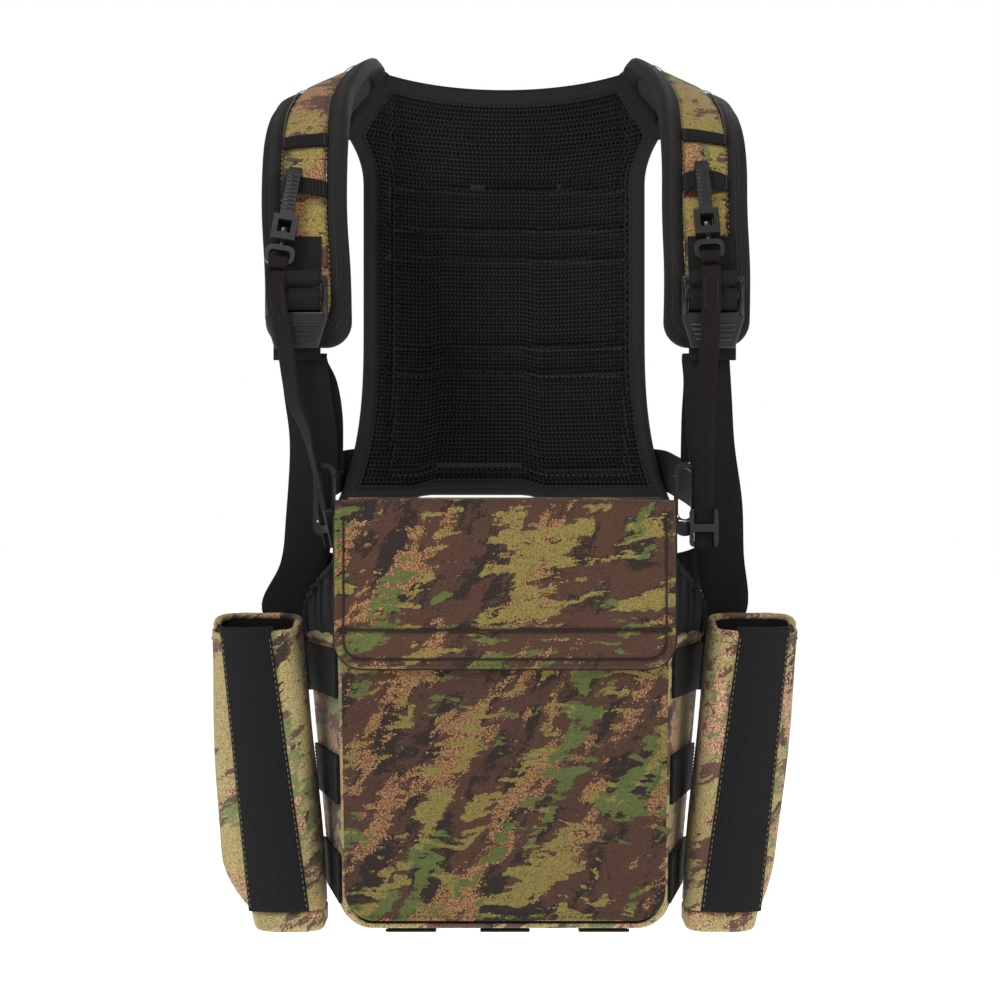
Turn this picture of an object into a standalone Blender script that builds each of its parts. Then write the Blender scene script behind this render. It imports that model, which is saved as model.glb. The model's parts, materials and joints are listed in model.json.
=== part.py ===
"""Binocular harness pack, worn on the chest, as separate sewn and moulded pieces.

Frame: +Z up, X to the right of someone who faces the wearer, -Y away from the wearer's chest.
The origin is the saddle between the two shoulder straps, level with their undersides.
Every size below is in millimetres. finish() turns a piece into metres, once.
Left and right are the viewer's.
"""

import math

import bmesh
import bpy
from mathutils import Matrix, Vector

MM = 0.001
GAP = 0.3
SIDES = {"left": -1, "right": 1}

# Main pouch
POUCH_FRONT_Y = -185.0
POUCH_REAR_Y = -105.0
PANEL_THICK = 2.7
FRONT_HALF_TOP = 82.0
FRONT_HALF_BOTTOM = 80.0
FRONT_BOTTOM_Z = -439.5
FRONT_TOP_Z = -246.0
REAR_HALF_TOP = 104.5
REAR_HALF_BOTTOM = 92.0
GUSSET_TOP_Z = -299.0
GUSSET_THICK = 2.4
LINING_TOP_Z = -258.0
LINING_THICK = 1.5
EAR_DRAW_IN = 16.0
TAPER_TOP_Z = -300.0
TAPER_BOTTOM_Z = -440.0
FOOT_Z = -443.5
FOOT_DROP = 4.0
FOOT_DROP_DEPTH = 0.3
LID_TOP_Z = -229.0
LID_THICK = 2.5
LID_HALF = 85.0
LID_REAR_Y = -105.5
FLAP_BOTTOM_Z = -313.0
FLAP_CORNER = 14.0
MAGNET_SIZE = (24.0, 1.2, 12.0)
MAGNET_ABOVE_HEM = 18.0

# Webbing
WEB_THICK = 1.6
WEB_WIDTH = 25.0
ANCHOR_THICK = 1.0
WRAP_THICK = 1.2
SIDE_BAND_Z = (-316.5, -369.8, -419.5)
BOTTOM_LOOP_X = (-47.5, 0.0, 50.0)

# Back panel
BACK_BOTTOM_Z = -226.0
BACK_NECK_Z = 19.0
BACK_PEAK_RISE = 8.0
BACK_Y = 100.0
BINDING_WIDTH = 10.0

# Shoulder straps
PAD_HALF_THICK = 4.0
BINDING_HALF_THICK = 5.0
STRAP_BINDING = 9.5
STRAP_END_RADIUS = 14.0
STRAP_START = 1.5
STRAP_TIP_KEEP = 3.0
STRAP_HALF_WIDTH = 23.0
CREST_WIDENING = 3.0
CREST_DISTANCE = 55.0
BAND_Z = {
    "left": {"upper": -38.0, "lower": -64.0},
    "right": {"upper": -35.0, "lower": -60.0},
}
BAND_HEIGHT = 9.0
BAND_RISE = {"upper": 0.8, "lower": 7.6}
BAND_END_INSET = 1.0
BAND_CREST_HALF = 3.2
ANCHOR_X = 110.0
ANCHOR_TOP_Z = -89.5
ANCHOR_LOOP_RADIUS = 3.9

# Ladder-lock buckle: the pivot is its top bar
LOCK_PIVOT_Z = -112.0
LOCK_Y = -114.5
LOCK_HALF_WIDTH = 16.5
LOCK_RAIL = 3.3
LOCK_THICK = 4.4
LOCK_BARS_Z = (0.0, -9.0, -19.5)
LOCK_BAR_HEIGHT = 3.2
LOCK_TAB_Z = -37.0

# Side pouches
SIDE_TOP_X = 128.0
SIDE_BOTTOM_X = 109.6
SIDE_TOP_WIDTH = 44.0
SIDE_BOTTOM_WIDTH = 37.0
SIDE_MID_Y = -145.0
SIDE_DEPTH = 54.0
SIDE_TOP_Z = -293.5
SIDE_RIM_RISE = 3.5
SIDE_BASE_Z = -437.0
SIDE_FLOOR_Z = -448.0
SIDE_WALL = 2.5
SIDE_CORNER = 13.0
ELASTIC_BULGE = 4.0

# Snap hooks, in their own frame: -Y outwards from the strap, Z up, zero at the band they are clipped to
HOOK_LEAN = {"left": 9.0, "right": -4.0}
HOOK_X = {"left": -113.5, "right": 105.8}
HOOK_PITCH = 17.0
HOOK_WIDTH = 7.0
HOOK_AXIS_Y = -13.5
GATE_PIVOT = (-6.0, -17.0)
COLLAR_WIDTH = 13.0

COLOURS = {
    "camo": (0.14, 0.12, 0.055, 0.85),
    "webbing": (0.017, 0.017, 0.017, 0.8),
    "mesh": (0.009, 0.009, 0.01, 0.9),
    "foam": (0.05, 0.05, 0.05, 0.9),
    "elastic": (0.03, 0.03, 0.032, 0.85),
    "tether": (0.04, 0.033, 0.03, 0.8),
    "plastic": (0.012, 0.012, 0.013, 0.4),
    "magnet": (0.45, 0.45, 0.45, 0.3),
}


def clear_scene():
    for old in list(bpy.data.objects):
        bpy.data.objects.remove(old)


def material(name):
    made = bpy.data.materials.get(name)
    if made:
        return made
    made = bpy.data.materials.new(name)
    made.use_nodes = True
    red, green, blue, roughness = COLOURS[name]
    shader = made.node_tree.nodes["Principled BSDF"]
    shader.inputs["Base Color"].default_value = (red, green, blue, 1)
    shader.inputs["Roughness"].default_value = roughness
    shader.inputs["Metallic"].default_value = 1.0 if name == "magnet" else 0.0
    return made


def finish(name, shape, look, origin=(0, 0, 0), parent=None):
    """Make the object from a bmesh in millimetres, with its origin at the given point."""
    bmesh.ops.recalc_face_normals(shape, faces=shape.faces)
    if shape.calc_volume(signed=True) < 0:
        bmesh.ops.reverse_faces(shape, faces=shape.faces)
    bmesh.ops.translate(shape, vec=-Vector(origin), verts=shape.verts)
    bmesh.ops.scale(shape, vec=(MM, MM, MM), verts=shape.verts)
    mesh = bpy.data.meshes.new(name)
    shape.to_mesh(mesh)
    shape.free()
    mesh.shade_smooth()
    mesh.set_sharp_from_angle(angle=math.radians(35))
    mesh.materials.append(material(look))
    piece = bpy.data.objects.new(name, mesh)
    piece.location = Vector(origin) * MM
    piece.parent = parent
    bpy.context.collection.objects.link(piece)
    return piece


def helper(piece):
    """Hide a cutter or a joined-on block, which is only read by a Boolean."""
    piece.hide_render = True
    piece.display_type = "WIRE"


def combine(piece, other, operation):
    """Join another shape to the piece, or cut it away."""
    helper(other)
    step = piece.modifiers.new(other.name, "BOOLEAN")
    step.operation = operation
    step.solver = "EXACT"
    step.object = other


def frame_empty(name, place):
    """An empty that carries pieces modelled in their own frame."""
    empty = bpy.data.objects.new(name, None)
    empty.empty_display_size = 0.01
    empty.matrix_world = place
    bpy.context.collection.objects.link(empty)
    return empty


# Flat patterns: cells in a plane, given a thickness and then bent into place


def grid_cells(columns, rows):
    for left, right in zip(columns, columns[1:]):
        for low, high in zip(rows, rows[1:]):
            yield (left, low), (right, low), (right, high), (left, high)


def slab(name, cells, low, high, place, look, origin=(0, 0, 0), parent=None):
    """A sheet from low to high in thickness, whose corners (a, b) are bent by place(a, b, height)."""
    shape = bmesh.new()
    corners = {}
    for cell in cells:
        for corner in cell:
            if corner not in corners:
                corners[corner] = shape.verts.new((corner[0], corner[1], low))
        shape.faces.new([corners[corner] for corner in cell])
    grown = bmesh.ops.extrude_face_region(shape, geom=list(shape.faces))
    for vert in grown["geom"]:
        if isinstance(vert, bmesh.types.BMVert):
            vert.co.z = high
    for vert in shape.verts:
        vert.co = place(*vert.co)
    return finish(name, shape, look, origin, parent)


def spread(low, high, count):
    return [low + (high - low) * step / count for step in range(count + 1)]


def prism(name, outline, place, low, high, look, origin=(0, 0, 0), parent=None):
    """A closed outline (a, b) extruded from low to high and put in place."""
    shape = bmesh.new()
    face = shape.faces.new([shape.verts.new((a, b, low)) for a, b in outline])
    grown = bmesh.ops.extrude_face_region(shape, geom=[face])
    for vert in grown["geom"]:
        if isinstance(vert, bmesh.types.BMVert):
            vert.co.z = high
    for vert in shape.verts:
        vert.co = place(*vert.co)
    return finish(name, shape, look, origin, parent)


def across(a, b, height):
    """Outline in X and Z, thickness along Y."""
    return Vector((a, height, b))


def along(a, b, height):
    """Outline in Y and Z, thickness along X."""
    return Vector((height, a, b))


def rounded(left, right, bottom, top, radius, steps=4):
    """A rectangle with round corners, counter-clockwise from the lower right one."""
    points = []
    centres = ((right, bottom, -90), (right, top, 0), (left, top, 90), (left, bottom, 180))
    for x, z, start in centres:
        inner_x = x - radius if x == right else x + radius
        inner_z = z + radius if z == bottom else z - radius
        for step in range(steps + 1):
            turn = math.radians(start + 90 * step / steps)
            points.append((inner_x + radius * math.cos(turn), inner_z + radius * math.sin(turn)))
    return points


def box(name, low, high, look, origin=(0, 0, 0), parent=None):
    outline = ((low[0], low[2]), (high[0], low[2]), (high[0], high[2]), (low[0], high[2]))
    return prism(name, outline, across, low[1], high[1], look, origin, parent)


def rod(name, radius, low, high, look, at=(0, 0), parent=None, sides=12):
    """A round pin along Z."""
    turns = [2 * math.pi * side / sides for side in range(sides)]
    outline = [(at[0] + radius * math.cos(turn), at[1] + radius * math.sin(turn)) for turn in turns]
    return prism(name, outline, lambda a, b, height: Vector((a, b, height)), low, high, look, parent=parent)


# Straps that follow a smooth run


def blend_points(points, along_run):
    """A point on the smooth curve through the points; along_run counts them."""
    last = len(points) - 1
    start = min(int(along_run), last - 1)
    part = along_run - start
    before, here, there, after = (points[min(max(start + step, 0), last)] for step in (-1, 0, 1, 2))
    return 0.5 * (
        2 * here
        + (there - before) * part
        + (2 * before - 5 * here + 4 * there - after) * part**2
        + (3 * here - before - 3 * there + after) * part**3
    )


class Run:
    """The centre line of a strap with its width direction; distances along it are millimetres."""

    def __init__(self, points, widths, samples=16):
        points = [Vector(point) for point in points]
        widths = [Vector(width) for width in widths]
        count = (len(points) - 1) * samples
        steps = [step / samples for step in range(count + 1)]
        self.points = [blend_points(points, step) for step in steps]
        self.widths = [blend_points(widths, step) for step in steps]
        self.marks = [0.0]
        for before, here in zip(self.points, self.points[1:]):
            self.marks.append(self.marks[-1] + (here - before).length)
        self.length = self.marks[-1]

    def frame(self, distance):
        """Point, width direction and outward direction at a distance along the run."""
        last = len(self.points) - 1
        at = next((i for i in range(last) if self.marks[i + 1] >= distance), last - 1)
        part = (distance - self.marks[at]) / (self.marks[at + 1] - self.marks[at])
        point = self.points[at].lerp(self.points[at + 1], part)
        ahead = self.points[min(at + 2, last)] - self.points[max(at - 1, 0)]
        ahead.normalize()
        width = self.widths[at].lerp(self.widths[at + 1], part).normalized()
        return point, width, ahead.cross(width).normalized()

    def place(self, distance, offset, height):
        point, width, outward = self.frame(distance)
        return point + width * offset + outward * height

    def distance_at_z(self, level):
        """The first distance at which the run, on its way down, passes a level."""
        top = max(range(len(self.points)), key=lambda i: self.points[i].z)
        found = next(i for i in range(top, len(self.points)) if self.points[i].z <= level)
        return self.marks[found]


def ribbon(name, run, look, start=0.0, end=None, width=WEB_WIDTH, step=8.0, thick=WEB_THICK):
    end = run.length if end is None else end
    distances = spread(start, end, max(1, round((end - start) / step)))
    cells = grid_cells(distances, (-width / 2, width / 2))
    return slab(name, cells, -thick / 2, thick / 2, run.place, look)


# Back panel


def back_half_width(level):
    """Half the panel's width at a level: armholes at the sides, a seam to each strap above them."""
    if level > -8:
        return 95 - 24 * (level + 8) / 35
    if level > -36:
        return 86 + 9 * ((level + 36) / 28) ** 2
    if level > -120:
        return 86.0
    return 86 + 14 * ((-120 - level) / 106) ** 3


def back_point(u, v, height, inset=0.0):
    """The panel's point at u across and v up, both as fractions; height counts towards the wearer's back."""
    bottom = BACK_BOTTOM_Z + inset
    top = BACK_NECK_Z + BACK_PEAK_RISE * u * u - inset
    level = bottom + v * (top - bottom)
    x = u * (back_half_width(level) - inset)
    lean = 0.006 * max(0.0, level + 40) ** 2 + 0.0008 * x * x
    return Vector((x, BACK_Y - lean + height, level))


def build_back():
    columns = spread(-1.0, 1.0, 8)
    rows = spread(0.0, 1.0, 14)
    layers = (
        ("back_mesh", -4.2, -1.5, "mesh"),
        ("back_foam", -1.2, 2.4, "foam"),
        ("back_shell", 2.7, 4.6, "camo"),
    )
    inset = BINDING_WIDTH + GAP
    for name, low, high, look in layers:
        slab(name, grid_cells(columns, rows), low, high, lambda u, v, h: back_point(u, v, h, inset), look)
    border = [(u, 0.0) for u in columns[:-1]] + [(1.0, v) for v in rows[:-1]]
    border += [(u, 1.0) for u in columns[:0:-1]] + [(-1.0, v) for v in rows[:0:-1]]
    count = len(border)

    def border_point(step, inward, height):
        u, v = border[int(round(step)) % count]
        return back_point(u, v, height, inward * BINDING_WIDTH)

    cells = []
    for step in range(count):
        after = (step + 1) % count
        cells.append(((step, 0), (after, 0), (after, 1), (step, 1)))
    slab("back_binding", cells, -5.2, 5.4, border_point, "webbing")


# Shoulder straps


def strap_run(side):
    sign = SIDES[side]
    end_x = {"left": 104.0, "right": 107.0}[side]
    points = (
        (86.5, 75.6, 11.0),
        (90.5, 59, 14),
        (97, 34, 14.5),
        (103, 0, 6),
        (107, -36, -10),
        (108, -63, -27),
        (108, -82, -48),
        (107.5, -92, -76),
        (end_x + 1, -101, -110),
        (end_x, -105, -148),
    )
    seam = ((24, 17.6, -35), (31, 9, -28), (38, 3, -22))
    widths = [Vector(way).normalized() for way in seam]
    for tilt in (24, 17, 10, 4, 0, 0, 0):
        widths.append(Vector((math.cos(math.radians(tilt)), 0, -math.sin(math.radians(tilt)))))
    mirrored = [(way.x, sign * way.y, sign * way.z) for way in widths]
    return Run([(sign * x, y, z) for x, y, z in points], mirrored)


def strap_half(run, distance):
    """Half the strap's width: wider over the shoulder, round at the front end."""
    crest = max(0.0, 1 - abs(distance - CREST_DISTANCE) / CREST_DISTANCE)
    half = STRAP_HALF_WIDTH + CREST_WIDENING * math.sin(crest * math.pi / 2)
    left = run.length - distance
    if left >= STRAP_END_RADIUS:
        return half
    chord = STRAP_END_RADIUS**2 - (STRAP_END_RADIUS - left) ** 2
    return half - STRAP_END_RADIUS + math.sqrt(max(chord, 0.0))


def build_strap(side):
    run = strap_run(side)
    start = STRAP_START
    long_end = run.length - STRAP_END_RADIUS
    distances = spread(start, long_end, 22)
    distances += [run.length - STRAP_END_RADIUS * (1 - math.sin(math.radians(15 * k))) for k in range(1, 7)]
    inner_end = run.length - STRAP_BINDING - GAP

    def pad_place(distance, u, height):
        """The pad keeps inside the binding."""
        at = start + (distance - start) * (inner_end - start) / (run.length - start)
        outer = strap_half(run, min(distance, run.length - STRAP_TIP_KEEP))
        return run.place(at, u * (outer - STRAP_BINDING - GAP), height)

    pad = grid_cells(distances, spread(-1.0, 1.0, 2))
    slab("shoulder_pad_" + side, pad, -PAD_HALF_THICK, PAD_HALF_THICK, pad_place, "camo")
    steps = [(distance, 1) for distance in distances] + [(distance, -1) for distance in distances[::-1]]

    def binding_place(step, inward, height):
        distance, edge = steps[int(round(step))]
        if not inward:
            return run.place(distance, edge * strap_half(run, distance), height)
        at = start + (distance - start) * (inner_end + GAP - start) / (run.length - start)
        outer = strap_half(run, min(distance, run.length - STRAP_TIP_KEEP))
        return run.place(at, edge * (outer - STRAP_BINDING), height)

    cells = grid_cells(range(len(steps)), (0, 1))
    thick = BINDING_HALF_THICK
    slab("shoulder_binding_" + side, cells, -thick, thick, binding_place, "webbing")
    build_strap_bands(side, run)
    build_anchor(side, run)
    return run


def build_strap_bands(side, run):
    for name, level in BAND_Z[side].items():
        rise = BAND_RISE[name]
        middle = run.distance_at_z(level)
        half = strap_half(run, middle) - STRAP_BINDING - BAND_END_INSET
        hook_at = HOOK_X[side] - run.frame(middle)[0].x
        seat = PAD_HALF_THICK + GAP

        def band_place(distance, offset, height, half=half, rise=rise, hook_at=hook_at, seat=seat):
            """A loop sewn down at both ends, standing proud where a hook passes behind it."""
            reach = half - hook_at if offset > hook_at else half + hook_at
            share = min(1.0, abs(offset - hook_at) / reach)
            lift = rise * math.cos(share * math.pi / 2) ** 0.7 if share < 1 else 0.0
            return run.place(distance, offset, seat + lift + height)

        crest = [hook_at - BAND_CREST_HALF, hook_at, hook_at + BAND_CREST_HALF]
        offsets = sorted(set(spread(-half, half, 8) + crest))
        cells = grid_cells((middle - BAND_HEIGHT / 2, middle + BAND_HEIGHT / 2), offsets)
        slab(f"strap_band_{name}_{side}", cells, 0.0, WEB_THICK, band_place, "webbing")


def build_anchor(side, run):
    """Webbing sewn on the strap's end, looped round the buckle's top bar."""
    x = SIDES[side] * ANCHOR_X
    top = run.distance_at_z(ANCHOR_TOP_Z)
    low = run.distance_at_z(LOCK_PIVOT_Z + 7)
    height = BINDING_HALF_THICK + GAP + WEB_THICK / 2
    points = []
    for distance in spread(top, low, 3):
        point = run.place(distance, 0, height)
        points.append((x, point.y, point.z))
    for turn in range(0, -281, -40):
        angle = math.radians(turn)
        reach = ANCHOR_LOOP_RADIUS
        points.append((x, LOCK_Y + reach * math.cos(angle), LOCK_PIVOT_Z + reach * math.sin(angle)))
    webbing = Run(points, [(1, 0, 0)] * len(points))
    ribbon("anchor_webbing_" + side, webbing, "webbing", step=2.2, thick=ANCHOR_THICK)


# Buckle and the long webbing


def build_ladderlock(side):
    x = SIDES[side] * ANCHOR_X
    pivot = (x, LOCK_Y, LOCK_PIVOT_Z)
    half = LOCK_HALF_WIDTH
    top = LOCK_PIVOT_Z + LOCK_BAR_HEIGHT / 2
    tab_top = LOCK_PIVOT_Z + LOCK_BARS_Z[2] - LOCK_BAR_HEIGHT / 2
    tab_low = LOCK_PIVOT_Z + LOCK_TAB_Z
    outline = [(x - half, top), (x - half, tab_top), (x - half + 5, tab_low), (x + half - 5, tab_low)]
    outline += [(x + half, tab_top), (x + half, top)]
    front = LOCK_Y - LOCK_THICK / 2
    back = LOCK_Y + LOCK_THICK / 2
    lock = prism("ladderlock_" + side, outline, across, front, back, "plastic", origin=pivot)
    inner = half - LOCK_RAIL
    for upper, lower in zip(LOCK_BARS_Z, LOCK_BARS_Z[1:]):
        high = LOCK_PIVOT_Z + upper - LOCK_BAR_HEIGHT / 2
        low = LOCK_PIVOT_Z + lower + LOCK_BAR_HEIGHT / 2
        slot_ends = (x - inner, front - 2, low), (x + inner, back + 2, high)
        slot = box(f"cutter_slot{-lower:.0f}_{side}", *slot_ends, "plastic")
        combine(lock, slot, "DIFFERENCE")


def build_long_webbing(side):
    """One length of webbing: its free tail, the turn below the buckle and the run down to the pouch."""
    sign = SIDES[side]
    tail = {
        "left": ((-99, -98.4, -214), (-99, -98.6, -185), (-102, -99, -166)),
        "right": ((106.5, -98.4, -209), (107, -98.6, -185), (108, -99, -166)),
    }[side]
    turn = ((sign * 107, -100.4, -159), (sign * 107, -103.6, -156.5), (sign * 107, -107, -160))
    run = {
        "left": (
            (-104.5, -108.5, -174),
            (-101.5, -109, -200),
            (-103.5, -109, -237),
            (-106.5, -107.5, -262),
            (-117, -103.5, -285),
            (-108, -101, -306),
            (-96, -100.8, -330),
        ),
        "right": (
            (108, -108.5, -174),
            (109.5, -109, -200),
            (113.5, -109, -230),
            (114.5, -107.5, -258),
            (117, -103.5, -285),
            (108, -101, -306),
            (96, -100.8, -330),
        ),
    }[side]
    points = tail + turn + run
    webbing = Run(points, [(-1, 0, 0)] * len(points))
    ribbon("load_webbing_" + side, webbing, "webbing", step=5.0)


def build_webbing_wrap(side):
    """The part of the long webbing that goes round the buckle's middle bar, and moves with the buckle."""
    x = SIDES[side] * ANCHOR_X
    bar = LOCK_PIVOT_Z + LOCK_BARS_Z[1]
    points = (
        (x, LOCK_Y - 1.2, bar - 7.4),
        (x, LOCK_Y - 3.0, bar - 3.5),
        (x, LOCK_Y - 3.7, bar + 0.3),
        (x, LOCK_Y - 1.6, bar + 3.3),
        (x, LOCK_Y + 1.8, bar + 3.2),
        (x, LOCK_Y + 3.9, bar + 0.2),
        (x, LOCK_Y + 3.7, bar - 12.0),
        (x, LOCK_Y + 3.7, bar - 26.0),
    )
    wrap = Run(points, [(1, 0, 0)] * len(points))
    ribbon("webbing_wrap_" + side, wrap, "webbing", step=2.6, thick=WRAP_THICK)


def build_torso_strap(side):
    """From the back panel's lower corner, round under the arm, to the pouch's rear face."""
    sign = SIDES[side]
    points = (
        (97, 99.5, -211),
        (103, 82, -214),
        (112, 45, -222),
        (116, 0, -234),
        (115, -50, -250),
        (108, -86, -262),
        (99, -100.0, -268),
        (84, -101.5, -271),
    )
    run = Run([(sign * x, y, z) for x, y, z in points], [(0, 0, 1)] * len(points))
    ribbon("torso_strap_" + side, run, "webbing", start=12.0, step=9.0)


# Snap hooks and tethers


def hook_frame(side, run):
    """The hook's own frame: its zero lies on the strap's middle surface behind the lower band."""
    middle = run.distance_at_z(BAND_Z[side]["lower"])
    point = run.frame(middle)[0]
    turn = Matrix.Rotation(math.radians(HOOK_LEAN[side]), 4, "Y")
    turn = turn @ Matrix.Rotation(math.radians(-HOOK_PITCH), 4, "X")
    place = Matrix.Translation(Vector((HOOK_X[side], point.y, point.z)) * MM) @ turn
    return frame_empty("hook_frame_" + side, place)


def build_hook(side, run):
    base = hook_frame(side, run)
    foot = (-4.8, -23), (-4.8, -18.6), (-8.0, -18.6), (-8.6, -17.0), (-14.4, -16.0)
    throat = (-14.4, 4.6), (-13.6, 6.4), (-11.8, 7.4), (-9.0, 7.4), (-7.2, 6.0), (-7.2, 3.2)
    nose = (-4.8, 3.2), (-4.8, 7.2), (-6.2, 9.5), (-9.0, 10.5), (-13.0, 10.5), (-16.2, 9.0), (-17.6, 5.8)
    spine = (-17.6, -33.0), (-9.5, -33.0), (-9.5, -24.5)
    outline = foot + throat + nose + spine
    half = HOOK_WIDTH / 2
    hook = prism("hook_body_" + side, outline, along, -half, half, "plastic", parent=base)
    wide = COLLAR_WIDTH / 2
    collar = box("joined_collar_" + side, (-wide, -17.6, -33.0), (wide, -9.5, -19.0), "plastic", parent=base)
    window = box("cutter_window_" + side, (-3.6, -19, -29.2), (3.6, -8, -22.0), "plastic", parent=base)
    hole = rod("cutter_pin_hole_" + side, 2.0, -35, -28, "plastic", (0, HOOK_AXIS_Y), base)
    combine(hook, collar, "UNION")
    combine(hook, window, "DIFFERENCE")
    combine(hook, hole, "DIFFERENCE")
    y, z = GATE_PIVOT
    gate_shape = ((y + 1.2, 2.8), (y - 1.2, 2.8), (y - 1.2, z - 0.2), (y - 0.7, z - 1.0))
    gate_shape += ((y + 0.7, z - 1.0), (y + 1.2, z - 0.2))
    prism("hook_gate_" + side, gate_shape, along, -2.5, 2.5, "plastic", origin=(0, y, z), parent=base)
    build_eye(side, base)


def build_eye(side, base):
    """The swivel: a headed pin through the collar, with a D-shaped eye for the tether below."""
    y = HOOK_AXIS_Y
    eye_outer = rounded(-8.0, 8.0, -46.5, -35.6, 4.0)
    eye = prism("hook_eye_" + side, eye_outer, across, y - 1.7, y + 1.7, "plastic", parent=base)
    inside = rounded(-5.8, 5.8, -44.4, -38.6, 2.4)
    cut = prism("cutter_eye_" + side, inside, across, y - 4, y + 4, "plastic", parent=base)
    combine(eye, cut, "DIFFERENCE")
    combine(eye, rod("joined_pin_" + side, 1.6, -36.5, -26.5, "plastic", (0, y), base), "UNION")
    combine(eye, rod("joined_head_" + side, 2.7, -28.6, -26.0, "plastic", (0, y), base), "UNION")


TETHER_POINTS = {
    "left": (
        (-121.0, -118.0, -107.5),
        (-119.5, -124.0, -124.0),
        (-114.5, -130.0, -150.0),
        (-110.5, -131.5, -176.0),
        (-103.7, -131.5, -193.0),
        (-101.2, -131.5, -203.4),
        (-97.2, -131.5, -220.4),
        (-93.2, -131.5, -237.4),
        (-89.4, -131.5, -254.0),
    ),
    "right": (
        (108.6, -118.0, -104.0),
        (108.4, -124.0, -122.0),
        (107.0, -130.0, -148.0),
        (104.8, -131.5, -172.0),
        (103.8, -131.5, -190.0),
        (103.8, -131.5, -206.0),
        (103.8, -131.5, -222.0),
        (103.8, -131.5, -238.0),
        (103.8, -131.5, -254.0),
    ),
}
TETHER_WIDTH = 10.0
TETHER_THICK = 1.2
TETHER_START = 6.0
TETHER_TURN = {"left": 70.0, "right": 0.0}
GLIDE_MIDDLE = 10.5
GLIDE_HALF_HEIGHT = 10.0
GLIDE_HALF_WIDTH = 7.4


def tether_run(side):
    """The strap turns about its own length on the way down."""
    points = TETHER_POINTS[side]
    turns = [TETHER_TURN[side] * min(1.0, step / 5) for step in range(len(points))]
    widths = [(math.cos(math.radians(t)), -math.sin(math.radians(t)), 0) for t in turns]
    return Run(points, widths)


def build_tether(side):
    run = tether_run(side)
    ribbon(
        "tether_" + side,
        run,
        "tether",
        start=TETHER_START,
        width=TETHER_WIDTH,
        step=6.0,
        thick=TETHER_THICK,
    )
    build_triglide(side, run)


def build_triglide(side, run):
    """A slider: the strap lies over its two end bars and under its middle bar."""
    middle = run.length - GLIDE_MIDDLE
    point, _, outward = run.frame(middle)
    down = (run.place(middle + 4, 0, 0) - run.place(middle - 4, 0, 0)).normalized()
    turn = Matrix((outward.cross(down), -outward, -down)).transposed().to_4x4()
    base = frame_empty("glide_frame_" + side, Matrix.Translation(point * MM) @ turn)
    half, tall = GLIDE_HALF_WIDTH, GLIDE_HALF_HEIGHT
    rail = TETHER_WIDTH / 2 + GAP
    past = tall + 2
    outline = rounded(-half, half, -tall, tall, 2.0, steps=2)
    glide = prism("triglide_" + side, outline, across, -2.6, 2.6, "plastic", parent=base)
    cuts = {
        "path": ((-rail, -1.0, -past), (rail, 1.0, past)),
        "over": ((-rail, -4.0, 2.0), (rail, 0.0, past)),
        "under": ((-rail, -4.0, -past), (rail, 0.0, -2.0)),
        "behind": ((-rail, 0.0, -tall + 3), (rail, 4.0, tall - 3)),
    }
    for name, ends in cuts.items():
        cutter = box(f"cutter_{name}_{side}", *ends, "plastic", parent=base)
        combine(glide, cutter, "DIFFERENCE")


GATE_HOOK_X = 94.6
GATE_HOOK_Y = -121.0
GATE_HOOK_TOP_Z = -209.5
GATE_HOOK_LOW_Z = -248.0


def build_gate_hook(side):
    """A flat snap ring hanging at the webbing's free end, with a sprung gate on its inner side."""
    sign = SIDES[side]
    x = sign * GATE_HOOK_X
    top, low, y = GATE_HOOK_TOP_Z, GATE_HOOK_LOW_Z, GATE_HOOK_Y
    outer = rounded(x - 6.0, x + 6.0, low, top, 5.5)
    inner = rounded(x - 3.2, x + 3.2, low + 9.0, top - 3.0, 2.8)
    hook = prism("gate_hook_" + side, outer, across, y - 1.8, y + 1.8, "plastic")
    window = prism("cutter_ring_" + side, inner, across, y - 4, y + 4, "plastic")
    near = x - sign * 3.2
    far = x - sign * 9.0
    mouth_low, mouth_high = low + 10.0, top - 7.0
    mouth_ends = (min(near, far), y - 4, mouth_low), (max(near, far), y + 4, mouth_high)
    mouth = box("cutter_mouth_" + side, *mouth_ends, "plastic")
    combine(hook, window, "DIFFERENCE")
    combine(hook, mouth, "DIFFERENCE")
    gate_x = sorted((x - sign * 3.5, x - sign * 5.7))
    pivot = (x - sign * 4.6, y, mouth_low + 1.6)
    gate_low, gate_high = mouth_low + 0.5, mouth_high - 0.4
    corners = ((gate_x[0], gate_low + 0.6), (gate_x[0] + 0.6, gate_low), (gate_x[1] - 0.6, gate_low))
    corners += ((gate_x[1], gate_low + 0.6), (gate_x[1], gate_high), (gate_x[0], gate_high))
    prism("gate_hook_gate_" + side, corners, across, y - 1.5, y + 1.5, "plastic", origin=pivot)


# Main pouch


def taper(level):
    """1 at the gusset's hem, 0 at the pouch's foot."""
    return min(1.0, max(0.0, (level - TAPER_BOTTOM_Z) / (TAPER_TOP_Z - TAPER_BOTTOM_Z)))


def pouch_half_width(level, depth):
    front = FRONT_HALF_BOTTOM + (FRONT_HALF_TOP - FRONT_HALF_BOTTOM) * taper(level) + 0.8
    rear = REAR_HALF_BOTTOM + (REAR_HALF_TOP - REAR_HALF_BOTTOM) * taper(level)
    ear = max(0.0, (level - TAPER_TOP_Z) / (LINING_TOP_Z - TAPER_TOP_Z))
    rear -= EAR_DRAW_IN * ear
    return front + (rear - front) * depth


def foot_level(depth):
    """The pouch's foot falls a little behind its front edge."""
    return FOOT_Z - FOOT_DROP * min(1.0, depth / FOOT_DROP_DEPTH)


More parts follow.
